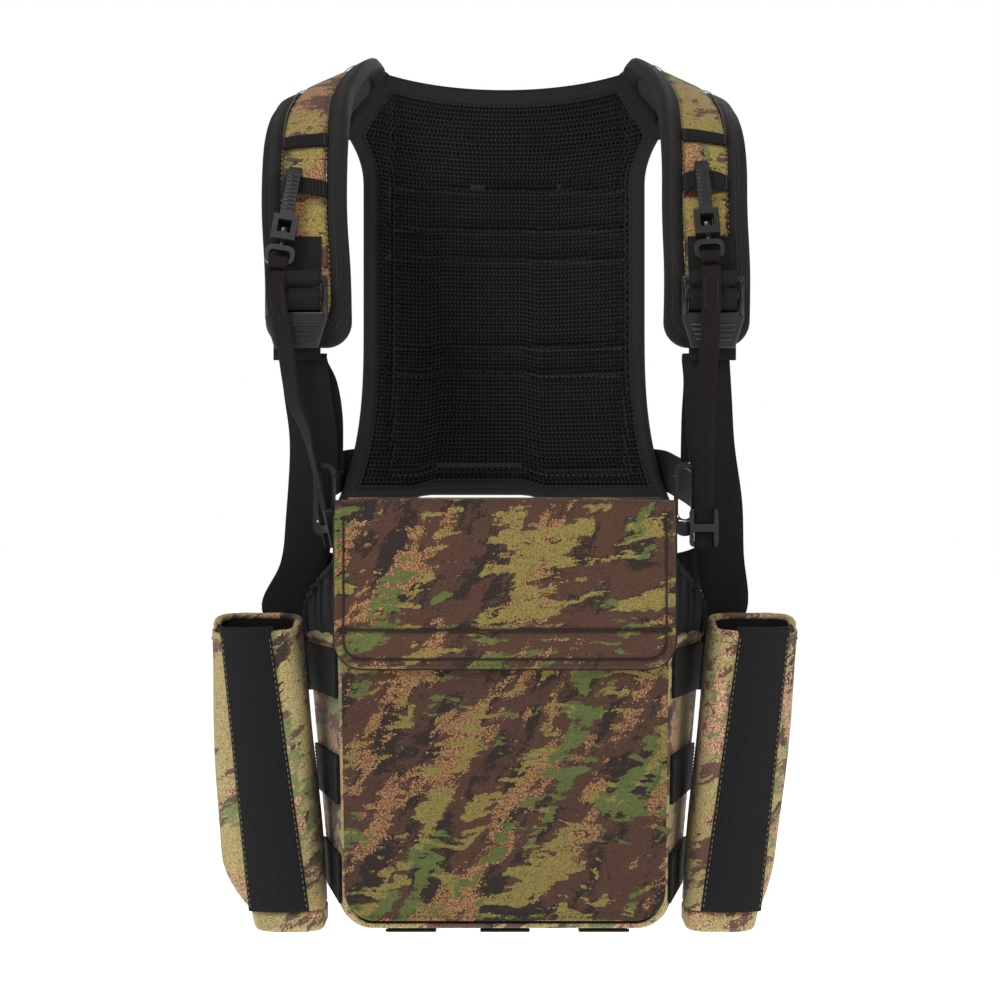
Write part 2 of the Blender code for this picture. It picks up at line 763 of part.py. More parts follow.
def pouch_outline(depth, inset, top):
    """The gusset's line from the top left, round the foot, to the top right, at a depth of 0 to 1."""
    foot = foot_level(depth) + inset
    radius = max(6.0, 16 + 4 * depth - inset)
    left = []
    for level in spread(top, foot + radius, 6):
        left.append((-(pouch_half_width(level, depth) - inset), level))
    corner_x = left[-1][0] + radius
    for step in range(1, 6):
        turn = math.radians(180 + 18 * step)
        left.append((corner_x + radius * math.cos(turn), foot + radius + radius * math.sin(turn)))
    return left + [(-x, level) for x, level in left[::-1]]


def depth_to_y(depth):
    front = POUCH_FRONT_Y + PANEL_THICK + GAP
    rear = POUCH_REAR_Y - PANEL_THICK - GAP
    return front + (rear - front) * depth


def build_gusset(name, inset, thick, top, look, ends=(0.0, 1.0)):
    def place(step, depth, inward):
        x, level = pouch_outline(depth, inward, top)[int(round(step))]
        return Vector((x, depth_to_y(depth), level))

    count = len(pouch_outline(0, inset, top))
    depths = (ends[0], 0.15, 0.3, 0.65, ends[1])
    slab(name, grid_cells(range(count), depths), inset, inset + thick, place, look)


def rear_outline():
    """The rear panel: as wide as the lid at the top, flaring down to the gusset's hem."""
    right = [(84.5, -234.0), (84.5, -250.0), (87.0, -257.0)]
    for level in (-272.0, -286.0, -299.0):
        right.append((pouch_half_width(level, 1.0) - 0.5, level))
    foot = [(x, level) for x, level in pouch_outline(1.0, 0.5, TAPER_TOP_Z) if x > 0]
    right += foot[::-1][1:]
    return right + [(-x, level) for x, level in right[::-1]]


def build_side_bands():
    for side, sign in SIDES.items():
        for number, middle in enumerate(SIDE_BAND_Z, 1):

            def place(level, depth, outward, sign=sign):
                x = sign * (pouch_half_width(level, depth) + outward)
                return Vector((x, depth_to_y(depth), level))

            levels = (middle - WEB_WIDTH / 2, middle + WEB_WIDTH / 2)
            cells = grid_cells(levels, (0.06, 0.5, 0.97))
            slab(f"gusset_band_{number}_{side}", cells, GAP, GAP + WEB_THICK, place, "webbing")


def build_bottom_loops():
    for number, middle in enumerate(BOTTOM_LOOP_X, 1):

        def place(x, depth, outward):
            return Vector((x, depth_to_y(depth), foot_level(depth) - outward))

        cells = grid_cells((middle - WEB_WIDTH / 2, middle + WEB_WIDTH / 2), (0.04, 0.3, 0.96))
        slab(f"bottom_loop_{number}", cells, GAP, GAP + WEB_THICK, place, "webbing")


def build_lid():
    hinge = (0, LID_REAR_Y, LID_TOP_Z - LID_THICK / 2)
    low = LID_TOP_Z - LID_THICK
    flap_back = POUCH_FRONT_Y - GAP
    flap_front = flap_back - PANEL_THICK
    ends = (-LID_HALF, flap_front, low), (LID_HALF, LID_REAR_Y, LID_TOP_Z)
    box("lid_top", *ends, "camo", origin=hinge)
    fold = (0, flap_front, low - GAP / 2)
    top = low - GAP
    corners = rounded(-LID_HALF, LID_HALF, FLAP_BOTTOM_Z, top, FLAP_CORNER)
    outline = [(x, min(z, top)) for x, z in corners if z < top - FLAP_CORNER - 1]
    outline = outline[:5] + [(LID_HALF, top), (-LID_HALF, top)] + outline[5:]
    flap = prism("lid_flap", outline, across, flap_front, flap_back, "camo", origin=fold)
    width, thick, height = MAGNET_SIZE
    middle = (flap_front + flap_back) / 2
    centre_z = FLAP_BOTTOM_Z + MAGNET_ABOVE_HEM
    low_corner = Vector((-width / 2, middle - thick / 2, centre_z - height / 2))
    high_corner = Vector((width / 2, middle + thick / 2, centre_z + height / 2))
    play = Vector((GAP, GAP, GAP))
    pocket_high = high_corner + play + Vector((0, 2, 0))
    pocket = box("cutter_flap_magnet", low_corner - play, pocket_high, "magnet")
    combine(flap, pocket, "DIFFERENCE")
    box("flap_magnet", low_corner, high_corner, "magnet")
    return centre_z


def build_pouch():
    magnet_z = build_lid()
    back_of_front = POUCH_FRONT_Y + PANEL_THICK
    outline = []
    for x, z in rounded(-FRONT_HALF_TOP, FRONT_HALF_TOP, FRONT_BOTTOM_Z, FRONT_TOP_Z, 15.0):
        narrow = 1 - (1 - FRONT_HALF_BOTTOM / FRONT_HALF_TOP) * (1 - taper(z))
        outline.append((x * narrow, z))
    front = prism("pouch_front", outline, across, POUCH_FRONT_Y, back_of_front, "camo")
    width, thick, height = MAGNET_SIZE
    low = Vector((-width / 2, back_of_front - thick, magnet_z - height / 2))
    high = Vector((width / 2, back_of_front, magnet_z + height / 2))
    play = Vector((GAP, GAP, GAP))
    pocket_high = high + play + Vector((0, 2, 0))
    pocket = box("cutter_front_magnet", low - play, pocket_high, "magnet")
    combine(front, pocket, "DIFFERENCE")
    box("front_magnet", low, high, "magnet")
    prism("pouch_rear", rear_outline(), across, POUCH_REAR_Y - PANEL_THICK, POUCH_REAR_Y, "webbing")
    build_gusset("pouch_gusset", 0.0, GUSSET_THICK, GUSSET_TOP_Z, "camo")
    inset = GUSSET_THICK + GAP
    build_gusset("pouch_lining", inset, LINING_THICK, LINING_TOP_Z, "mesh", ends=(0.01, 0.99))
    build_side_bands()
    build_bottom_loops()


# Side pouches


def side_middle(level):
    share = (SIDE_TOP_Z - level) / (SIDE_TOP_Z - SIDE_FLOOR_Z)
    return SIDE_TOP_X + (SIDE_BOTTOM_X - SIDE_TOP_X) * share


def side_half(level):
    share = (SIDE_TOP_Z - level) / (SIDE_TOP_Z - SIDE_FLOOR_Z)
    return (SIDE_TOP_WIDTH + (SIDE_BOTTOM_WIDTH - SIDE_TOP_WIDTH) * share) / 2


def side_ring(level, inset):
    """The pouch's section at a level, as offsets from its middle."""
    half = side_half(level) - inset
    deep = SIDE_DEPTH / 2 - inset
    return rounded(-half, half, -deep, deep, SIDE_CORNER - inset)


def build_side_pouch(side):
    sign = SIDES[side]
    count = len(side_ring(0, 0))

    def wall_place(step, share, inset):
        x, y = side_ring(SIDE_TOP_Z, inset)[int(round(step)) % count]
        rise = SIDE_RIM_RISE * y / (SIDE_DEPTH / 2)
        level = SIDE_BASE_Z + share * (SIDE_TOP_Z + rise - SIDE_BASE_Z)
        x, y = side_ring(level, inset)[int(round(step)) % count]
        return Vector((sign * (side_middle(level) + x), SIDE_MID_Y + y, level))

    cells = []
    rows = spread(0.0, 1.0, 3)
    for step in range(count):
        after = (step + 1) % count
        for low, high in zip(rows, rows[1:]):
            cells.append(((step, low), (after, low), (after, high), (step, high)))
    slab("side_sleeve_" + side, cells, 0.0, SIDE_WALL, wall_place, "camo")
    base = side_ring(SIDE_BASE_Z, 0)

    def base_place(x, y, level):
        shrink = 1.0 if level > SIDE_BASE_Z - 2 else 0.94
        return Vector((sign * (side_middle(level) + x * shrink), SIDE_MID_Y + y * shrink, level))

    prism("side_base_" + side, base, base_place, SIDE_FLOOR_Z, SIDE_BASE_Z - GAP, "camo")

    def elastic_place(u, level, outward):
        share = (SIDE_TOP_Z - level) / (SIDE_TOP_Z - SIDE_FLOOR_Z)
        outer = side_half(level) - 6.0 * (1 - share)
        inner = -side_half(level) + 12.6 - 6.6 * share
        x = inner + (outer - inner) * (u + 1) / 2
        bulge = ELASTIC_BULGE * (1 - u * u)
        y = SIDE_MID_Y - SIDE_DEPTH / 2 - GAP - bulge - outward
        return Vector((sign * (side_middle(level) + x), y, level))

    cells = grid_cells(spread(-1.0, 1.0, 6), spread(SIDE_FLOOR_Z + 11, SIDE_TOP_Z - 3.5, 3))
    slab("side_elastic_" + side, cells, 0.0, 1.5, elastic_place, "elastic")


def main():
    clear_scene()
    build_back()
    build_pouch()
    for side in SIDES:
        run = build_strap(side)
        build_ladderlock(side)
        build_webbing_wrap(side)
        build_long_webbing(side)
        build_torso_strap(side)
        build_hook(side, run)
        build_tether(side)
        build_gate_hook(side)
        build_side_pouch(side)


main()
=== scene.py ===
# %% [markdown]
# # Binocular harness pack
# A chest pouch for binoculars hangs on a padded shoulder harness. It is sewn from printed camouflage cloth, black
# webbing, spacer mesh and elastic, and it carries moulded buckles and snap hooks. This lesson builds its looks round
# a fixed frame of plain solids. The frame says where every piece is; each cell below makes one piece or one finish.

# %% Load the frame
import bisect
import json
import math

import bmesh
import bpy
from mathutils import Matrix, Vector

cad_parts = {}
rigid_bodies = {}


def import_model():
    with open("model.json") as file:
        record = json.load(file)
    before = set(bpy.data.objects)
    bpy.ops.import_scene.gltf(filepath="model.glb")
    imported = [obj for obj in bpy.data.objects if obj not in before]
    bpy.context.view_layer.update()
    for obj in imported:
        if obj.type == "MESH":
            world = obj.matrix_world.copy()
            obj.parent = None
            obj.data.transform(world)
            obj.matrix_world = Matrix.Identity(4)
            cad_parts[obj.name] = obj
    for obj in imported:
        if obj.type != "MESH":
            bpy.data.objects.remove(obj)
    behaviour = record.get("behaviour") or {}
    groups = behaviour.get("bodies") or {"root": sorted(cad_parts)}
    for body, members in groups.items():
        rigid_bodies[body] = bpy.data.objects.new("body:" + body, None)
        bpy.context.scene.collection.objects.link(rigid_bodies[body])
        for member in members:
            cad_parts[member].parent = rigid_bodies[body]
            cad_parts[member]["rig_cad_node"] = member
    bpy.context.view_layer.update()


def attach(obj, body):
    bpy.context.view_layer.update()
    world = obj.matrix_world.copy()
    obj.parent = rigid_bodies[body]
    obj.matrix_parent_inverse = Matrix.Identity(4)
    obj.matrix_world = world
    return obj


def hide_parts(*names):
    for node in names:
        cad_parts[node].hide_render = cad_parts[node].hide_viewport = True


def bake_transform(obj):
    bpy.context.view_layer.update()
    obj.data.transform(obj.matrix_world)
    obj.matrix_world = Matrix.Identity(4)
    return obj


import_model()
MM = 0.001
SIDES = {"left": -1, "right": 1}

# %% [markdown]
# ## Camera, floor and light
# The pack is looked at from straight ahead, level with the lid, through a long lens, so its depth shows little
# perspective. A wide floor and soft lamps on both sides give the even light of a studio. The lamps are large, because
# a large lamp has soft shadows and keeps black plastic readable through broad highlights.

# %% Camera
scene = bpy.context.scene
lens = bpy.data.cameras.new("camera")
lens.lens = 90.0
lens.clip_end = 200.0
camera = bpy.data.objects.new("camera", lens)
camera.location = (-0.0025, -1.435, -0.229)
camera.rotation_euler = (math.radians(90), 0, 0)
scene.collection.objects.link(camera)
scene.camera = camera
scene.view_settings.view_transform = "Standard"
print("camera", camera.location[:])


# %% Lamps
def lamp(name, place, target, size, power):
    light = bpy.data.lights.new(name, "AREA")
    light.shape = "DISK"
    light.size = size
    light.energy = power
    made = bpy.data.objects.new(name, light)
    made.location = place
    way = Vector(target) - Vector(place)
    made.rotation_euler = way.to_track_quat("-Z", "Y").to_euler()
    scene.collection.objects.link(made)


MIDDLE = (0, -0.1, -0.2)
lamp("key_lamp", (-0.75, -1.25, 1.35), MIDDLE, 0.6, 19)
lamp("fill_lamp", (1.2, -1.4, 0.3), MIDDLE, 0.6, 6)
lamp("back_lamp", (0.4, 1.8, 0.9), MIDDLE, 1.2, 12)
world = bpy.data.worlds.new("studio")
scene.world = world
world.use_nodes = True
sky = world.node_tree.nodes["Background"]
sky.inputs["Color"].default_value = (1, 1, 1, 1)
seen = world.node_tree.nodes.new("ShaderNodeLightPath")
power = world.node_tree.nodes.new("ShaderNodeMapRange")
power.inputs["To Min"].default_value = 0.33
world.node_tree.links.new(seen.outputs["Is Camera Ray"], power.inputs["Value"])
world.node_tree.links.new(power.outputs[0], sky.inputs["Strength"])

# %% [markdown]
# ## Finishes
# A finish is a small tree of nodes. Printed cloth reads Object coordinates, so that its pattern runs across seams at
# one size. Webbing and tape read their own UV map, which holds millimetres along and across the strap, so that each
# rib follows the strap wherever it bends.


# %% A short way to write node trees
class Finish:
    """A material under construction: node() adds a node and wires or sets its inputs."""

    def __init__(self, name, roughness=0.8):
        self.material = bpy.data.materials.new(name)
        self.material.use_nodes = True
        self.tree = self.material.node_tree
        self.shader = self.tree.nodes["Principled BSDF"]
        self.shader.inputs["Roughness"].default_value = roughness

    def wire(self, node, key, value):
        if isinstance(value, bpy.types.NodeSocket):
            self.tree.links.new(value, node.inputs[key])
        else:
            node.inputs[key].default_value = value

    def node(self, kind, inputs, output=0, **settings):
        made = self.tree.nodes.new("ShaderNode" + kind)
        for key, value in settings.items():
            setattr(made, key, value)
        for key, value in inputs.items():
            self.wire(made, key, value)
        return made.outputs[output]

    def math(self, operation, first, second=0.0):
        return self.node("Math", {0: first, 1: second}, operation=operation)

    def noise(self, where, scale, detail=4.0, rough=0.55, output=0):
        inputs = {"Vector": where, "Scale": scale, "Detail": detail, "Roughness": rough}
        return self.node("TexNoise", inputs, output)

    def mapped(self, where, scale=(1, 1, 1), turn=(0, 0, 0), shift=(0, 0, 0)):
        return self.node("Mapping", {"Vector": where, "Scale": scale, "Rotation": turn, "Location": shift})

    def step(self, value, edge, soft=0.01):
        """0 below the edge and 1 above it, over a short slope."""
        return self.node("MapRange", {"Value": value, "From Min": edge - soft, "From Max": edge + soft})

    def mix(self, share, first, second):
        made = self.tree.nodes.new("ShaderNodeMix")
        made.data_type = "RGBA"
        self.wire(made, 0, share)
        for key, value in ((6, first), (7, second)):
            self.wire(made, key, value if isinstance(value, bpy.types.NodeSocket) else (*value, 1.0))
        return made.outputs[2]

    def bump(self, height, distance, strength=1.0):
        return self.node("Bump", {"Height": height, "Distance": distance, "Strength": strength})

    def done(self, colour, normal=None, roughness=None, **constants):
        for key, value in (("Base Color", colour), ("Normal", normal), ("Roughness", roughness)):
            if value is not None:
                value = (*value, 1.0) if isinstance(value, tuple) else value
                self.wire(self.shader, key, value)
        for key, value in constants.items():
            self.shader.inputs[key.replace("_", " ")].default_value = value
        return self.material


def linear(red, green, blue):
    """A screen colour of 0 to 255 as the linear values that a shader takes."""
    values = []
    for part in (red, green, blue):
        share = part / 255
        values.append(share / 12.92 if share <= 0.04045 else ((share + 0.055) / 1.055) ** 2.4)
    return tuple(values)


# %% [markdown]
# ### Printed camouflage
# The print has a brown ground with dark brown, leaf green, olive and tan blotches. They are torn sideways as if
# brushed on, some with clean edges and some broken into specks. Each blotch layer is a stretched noise cut at a level;
# a very fine noise added before the cut breaks its edge into specks. A pebbled bump and a low sheen make it cloth, and
# the pebbles' pits are darkened as painted shade. The side copy is made brighter and more tan as painted light, for
# the lit sleeves.

# %% Camouflage
BROWN = linear(98, 67, 52)
DARK_BROWN = linear(54, 43, 37)
GREEN = linear(96, 108, 54)
OLIVE = linear(158, 139, 76)
TAN = linear(186, 140, 92)
GRAIN = 1150.0
PEBBLE = 760.0
WARP_REACH = 0.016
DETAIL, BREAKUP = 7.0, 0.62


# Scales a colour by a share; the script uses it only to paint lighter and darker tones as painted light and shade.
def painted_light_tone(colour, share):
    return tuple(part * share for part in colour)


def camouflage(name, shift, turn, bright, sunny, rich=1.0):
    """The printed cloth: sunny trades dark patches for light ones, bright and rich set its value and saturation."""
    look = Finish(name, 0.86)
    place = look.node("TexCoord", {}, 3)
    cloth = look.mapped(place, turn=(0, turn, 0), shift=shift)
    warp = look.noise(cloth, 30.0, 3.0, output=1)
    push = look.node("VectorMath", {0: warp, 1: (0.5, 0.5, 0.5)}, operation="SUBTRACT")
    push = look.node("VectorMath", {0: push, "Scale": WARP_REACH}, operation="SCALE")
    bent = look.node("VectorMath", {0: cloth, 1: push}, operation="ADD")
    level = look.mapped(bent, (1.0, 1.0, 2.5), (0, 0.2, 0))
    slant = look.mapped(look.mapped(bent, turn=(0, 1.0, 0)), (1.0, 1.0, 3.0), shift=(0.31, 0.1, 0.7))
    slanted = look.step(look.noise(look.mapped(cloth, shift=(0.5, 0, 0.2)), 8.0, 1.0), 0.48, 0.04)
    bristles = look.mapped(bent, (45.0, 45.0, 230.0), (0, 0.08, 0))
    teeth = look.math("SUBTRACT", look.noise(bristles, 1.0, 3.0), 0.5)
    grain = look.math("SUBTRACT", look.noise(place, GRAIN, 1.0), 0.5)

    def blotch(scale, edge, specks, shift, torn, soft=0.006):
        """A torn patch: brushed level in some places and slanted in others, its edge broken into specks."""
        first = look.noise(look.mapped(level, shift=shift), scale, DETAIL, BREAKUP)
        second = look.noise(look.mapped(slant, shift=shift), scale, DETAIL, BREAKUP)
        value = look.node("MapRange", {"Value": slanted, "To Min": first, "To Max": second})
        value = look.math("ADD", value, look.math("MULTIPLY", grain, specks))
        value = look.math("ADD", value, look.math("MULTIPLY", teeth, torn))
        return look.step(value, edge, soft)

    dark = blotch(19.0, 0.51 + sunny, 0.16, (0.9, 1.3, 0.4), 0.3, 0.012)
    tan = blotch(17.0, 0.555 - sunny, 0.16, (0.2, 0.7, 0.1), 0.35)
    green = blotch(17.0, 0.585 - sunny * 0.4, 0.03, (1.7, 0.3, 0.2), 0.6)
    olive = blotch(16.0, 0.59 - sunny * 1.4, 0.09, (0.4, 0.2, 0.9), 0.55)
    shade = look.noise(place, 70.0, 4.0)
    ground = look.mix(shade, BROWN, linear(84, 58, 47))
    ground = look.mix(dark, ground, look.mix(look.step(grain, 0.05, 0.08), DARK_BROWN, linear(46, 38, 34)))
    speckle = look.step(grain, -0.01, 0.07)
    colour = look.mix(tan, ground, look.mix(speckle, linear(118, 80, 58), TAN))
    colour = look.mix(green, colour, look.mix(shade, GREEN, linear(112, 122, 66)))
    colour = look.mix(olive, colour, look.mix(look.step(grain, -0.08, 0.06), linear(118, 112, 60), OLIVE))
    weave = look.mapped(place, (1, 1, 1.3), (0, 0.6, 0))
    pebble = look.node("TexVoronoi", {"Vector": weave, "Scale": PEBBLE})
    height = look.math("ADD", pebble, look.math("MULTIPLY", look.noise(place, 2000.0, 2.0), 0.5))
    # Painted shade: the pebbled weave's pits are darkened towards a dim dark brown.
    pit_shade = look.math("MULTIPLY", look.step(pebble, 0.52, 0.3), 0.35)
    colour = look.mix(pit_shade, colour, painted_light_tone(DARK_BROWN, 0.4))
    colour = look.node("HueSaturation", {"Color": colour, "Value": bright, "Saturation": rich})
    normal = look.bump(height, 0.00035, 0.7)
    return look.done(colour, normal, Sheen_Weight=0.1, Sheen_Roughness=0.5, Specular_IOR_Level=0.25)


# Painted light: the side copy is brighter, less saturated and more tan-covered than the front cloth, so its sleeves
# and gusset look lit.
CAMO = camouflage("camouflage_cloth", (0.03, 0.0, 0.02), 0.0, 0.76, 0.002)
CAMO_LID = camouflage("camouflage_lid_cloth", (0.21, 0.0, 0.13), 0.1, 0.86, 0.016)
CAMO_SIDE_LIT = camouflage("camouflage_side_cloth_painted_lit", (0.35, 0.1, 0.27), 0.5, 1.62, 0.055, 0.84)
CAMO_STRAP = camouflage("camouflage_strap_cloth", (0.11, 0.2, 0.41), 0.0, 1.15, 0.05)
print("printed cloth", CAMO.name, CAMO_LID.name, CAMO_SIDE_LIT.name)

# %% [markdown]
# ### Webbing, tape, elastic and mesh
# Heavy webbing shows straight ribs across its length. Edge tape is woven in herringbone, two slopes that meet in the
# middle. Elastic shows fine rows that the stretch pulls apart. All of these are waves in the UV map, in millimetres.
# Each rib's crest is painted lighter as painted highlight and its valley darker as painted shade.


# %% Woven finishes
HERRINGBONE = 0.0046
THREAD_SHARE = 0.6


def ribbed(name, colour, pitch, slope=0.0, depth=0.00022, light=1.6):
    """Ribs across the strap's length, crests painted lighter as painted highlight and valleys darker as painted shade.
    A slope other than 0 turns them into herringbone about the middle.
    """
    look = Finish(name, 0.72)
    parts = look.node("SeparateXYZ", {0: look.node("TexCoord", {}, 2)}).node
    along, side = parts.outputs[0], parts.outputs[1]
    if slope:
        share = look.math("FRACT", look.math("DIVIDE", side, HERRINGBONE))
        side_out = look.math("ABSOLUTE", look.math("SUBTRACT", share, 0.5))
        along = look.math("ADD", along, look.math("MULTIPLY", side_out, slope * HERRINGBONE))
    turns = look.math("MULTIPLY", along, 2 * math.pi / (pitch * MM))
    rib = look.math("SINE", turns)
    threads = look.math("SINE", look.math("MULTIPLY", side, 2 * math.pi / (pitch * THREAD_SHARE * MM)))
    height = look.math("ADD", look.math("MULTIPLY", rib, 0.5), look.math("MULTIPLY", threads, 0.18))
    fuzz = look.noise(look.node("TexCoord", {}, 3), 1800.0, 3.0)
    height = look.math("ADD", height, look.math("MULTIPLY", fuzz, 0.35))
    # Painted light: the tone runs from 0.4 of the colour in the rib valleys as painted shade up to light times it on
    # the crests as painted highlight.
    lit = look.math("MULTIPLY_ADD", height, 0.5)
    lit.node.inputs[2].default_value = 0.35
    tone = look.mix(lit, painted_light_tone(colour, 0.4), painted_light_tone(colour, light))
    return look.done(tone, look.bump(height, depth, 0.9), Sheen_Weight=0.03, Specular_IOR_Level=0.16)


# light sets how strong each finish's painted highlight on its rib crests is.
WEBBING = ribbed("black_webbing", linear(29, 28, 27), 1.0)
BAND = ribbed("loop_webbing", linear(20, 19, 19), 1.7, depth=0.0004, light=2.4)
TAPE = ribbed("herringbone_tape", linear(28, 27, 26), 1.9, slope=3.0, depth=0.0005, light=4.0)
TETHER = ribbed("tether_tape", linear(29, 24, 23), 0.9, slope=1.4)
ELASTIC = ribbed("ribbed_elastic", linear(27, 26, 27), 1.6, depth=0.0004, light=1.9)
THREAD = Finish("sewing_thread", 0.6).done(linear(104, 92, 58), Sheen_Weight=0.1)
DARK_THREAD = Finish("dark_thread", 0.6).done(linear(40, 37, 34), Sheen_Weight=0.1)


def knit(name, colour, size):
    """Soft black knit: round loops close together, their middles painted lighter as painted highlight and the gaps
    between them darker as painted shade, with a dusty sheen.
    """
    look = Finish(name, 0.88)
    place = look.node("TexCoord", {}, 3)
    cells = look.node("TexVoronoi", {"Vector": place, "Scale": 1000.0 / size})
    fuzz = look.noise(place, 1500.0, 3.0)
    height = look.math("ADD", cells, look.math("MULTIPLY", fuzz, 0.4))
    # Painted light: each loop's middle gets 1.5 times the colour as painted highlight, the gaps between loops 0.4 of
    # it as painted shade.
    tone = look.mix(cells, painted_light_tone(colour, 1.5), painted_light_tone(colour, 0.4))
    return look.done(tone, look.bump(height, 0.0003, 0.9), Sheen_Weight=0.04, Specular_IOR_Level=0.16)


MESH = knit("spacer_mesh", linear(47, 46, 47), 0.8)
# Painted shade: a near-black knit for the floors of the mesh's holes, where shade falls.
MESH_HOLE_SHADE = knit("spacer_mesh_hole_shade", linear(5, 5, 5), 0.8)
LINING = knit("soft_lining", linear(25, 24, 25), 1.0)


def moulded(name, colour, roughness):
    look = Finish(name, roughness)
    place = look.node("TexCoord", {}, 3)
    grain = look.noise(place, 2400.0, 3.0)
    smear = look.noise(place, 90.0, 4.0)
    rough = look.node("MapRange", {"Value": smear, "To Min": roughness - 0.08, "To Max": roughness + 0.12})
    return look.done(colour, look.bump(grain, 0.00005, 0.5), rough, Specular_IOR_Level=0.5)


PLASTIC = moulded("moulded_plastic", linear(30, 29, 29), 0.33)
GLOSS_PLASTIC = moulded("gloss_plastic", linear(17, 17, 17), 0.22)
STEEL = Finish("pin_steel", 0.3).done((0.55, 0.55, 0.55), Metallic=1.0)
print("finishes", len(bpy.data.materials))

# %% [markdown]
# ## How the sewn pieces are made
# Cloth, webbing and tape all start as a flat grid. The grid gets a thickness, its flat place is kept as the UV map,
# and then a formula bends every point to where the sewn piece lies. A bevel softens the cut edges, as on real webbing.


# %% Keep a shape as a piece
def keep(name, shape, finish, body="root", bevel=0.0, segments=2):
    """Turn a finished bmesh, in millimetres, into a piece that rides on a body."""
    bmesh.ops.scale(shape, vec=(MM, MM, MM), verts=shape.verts)
    mesh = bpy.data.meshes.new(name)
    shape.to_mesh(mesh)
    shape.free()
    mesh.shade_smooth()
    mesh.materials.append(finish)
    piece = bpy.data.objects.new(name, mesh)
    scene.collection.objects.link(piece)
    if bevel:
        edge = piece.modifiers.new("soft_edge", "BEVEL")
        edge.width = bevel * MM
        edge.segments = segments
        edge.limit_method = "ANGLE"
        edge.angle_limit = math.radians(38)
    if body:
        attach(piece, body)
    return piece


def span(ends, share):
    return ends[0] + (ends[1] - ends[0]) * share


def thicken(shape, height):
    """Give the flat grid a second layer at a height, with walls between the two."""
    grown = bmesh.ops.extrude_face_region(shape, geom=shape.faces[:])
    for vert in grown["geom"]:
        if isinstance(vert, bmesh.types.BMVert):
            vert.co.z = height


def bend(shape, place):
    for vert in shape.verts:
        vert.co = place(*vert.co)


def sheet(name, a_ends, b_ends, cuts, place, finish, heights, body="root", bevel=0.45):
    """A grid over a and b, given a thickness and bent by place(a, b, height), all in millimetres."""
    shape = bmesh.new()
    bmesh.ops.create_grid(shape, x_segments=cuts[0], y_segments=cuts[1], size=0.5)
    for vert in shape.verts:
        vert.co = (span(a_ends, vert.co.x + 0.5), span(b_ends, vert.co.y + 0.5), heights[0])
    thicken(shape, heights[1])
    layer = shape.loops.layers.uv.new("UVMap")
    for face in shape.faces:
        for loop in face.loops:
            loop[layer].uv = loop.vert.co.xy * MM
    bend(shape, place)
    bmesh.ops.recalc_face_normals(shape, faces=shape.faces)
    return keep(name, shape, finish, body, bevel)


def stretch_uv(piece, along):
    """Turn a map that counts shares along the piece into one that counts millimetres."""
    for entry in piece.data.uv_layers[0].data:
        entry.uv = (entry.uv.x * along, entry.uv.y)


def refinish(piece, finish):
    piece.data.materials.clear()
    piece.data.materials.append(finish)


# %% Tubes, edge tapes and seams
def close(shape):
    """Join a rolled grid's two sides and fill its open ends."""
    bmesh.ops.remove_doubles(shape, verts=shape.verts, dist=0.001)
    bmesh.ops.holes_fill(shape, edges=shape.edges, sides=0)
    bmesh.ops.recalc_face_normals(shape, faces=shape.faces)


def tube(name, points, radius, finish, around=12, body="root", squeeze=None):
    """A soft tube along points in millimetres. squeeze(share) thickens or thins it along its way."""
    shape = bmesh.new()
    steps = len(points) - 1
    bmesh.ops.create_grid(shape, x_segments=steps, y_segments=around, size=0.5)
    layer = shape.loops.layers.uv.new("UVMap")
    marks = [0.0]
    for before, here in zip(points, points[1:]):
        marks.append(marks[-1] + (here - before).length)
    for face in shape.faces:
        for loop in face.loops:
            step = round((loop.vert.co.x + 0.5) * steps)
            loop[layer].uv = (marks[step] * MM, (loop.vert.co.y + 0.5) * 2 * math.pi * radius * MM)
    for vert in shape.verts:
        step = round((vert.co.x + 0.5) * steps)
        turn = (vert.co.y + 0.5) * 2 * math.pi
        here = points[step]
        ahead = (points[min(step + 1, steps)] - points[max(step - 1, 0)]).normalized()
        side = ahead.cross(Vector((0.13, 0.31, 0.94))).normalized()
        wide = squeeze(step / steps) if squeeze else 1.0
        vert.co = here + (side * math.cos(turn) + ahead.cross(side) * math.sin(turn)) * radius * wide
    close(shape)
    return keep(name, shape, finish, body)


def edge_tape(name, count, place, closed, width, thick):
    """Tape folded over an edge. place(step, inward, height) finds a point of the edge at a step."""
    shape = bmesh.new()
    steps = count if closed else count - 1
    bmesh.ops.create_grid(shape, x_segments=steps, y_segments=18, size=0.5)
    marks = [0.0]
    for step in range(steps):
        marks.append(marks[-1] + (place((step + 1) % count, 0, 0) - place(step, 0, 0)).length)
    layer = shape.loops.layers.uv.new("UVMap")
    rim = 2 * (width + thick) * 0.9
    for face in shape.faces:
        for loop in face.loops:
            step = round((loop.vert.co.x + 0.5) * steps)
            loop[layer].uv = (marks[step] * MM, (loop.vert.co.y + 0.5) * rim * MM)
    for vert in shape.verts:
        step = round((vert.co.x + 0.5) * steps)
        turn = (vert.co.y + 0.5) * 2 * math.pi
        out, up = math.cos(turn), math.sin(turn)
        out = math.copysign(abs(out) ** 0.6, out)
        up = math.copysign(abs(up) ** 0.5, up)
        vert.co = place(step % count, (1 - out) / 2, up * thick / 2)
    close(shape)
    return keep(name, shape, TAPE)


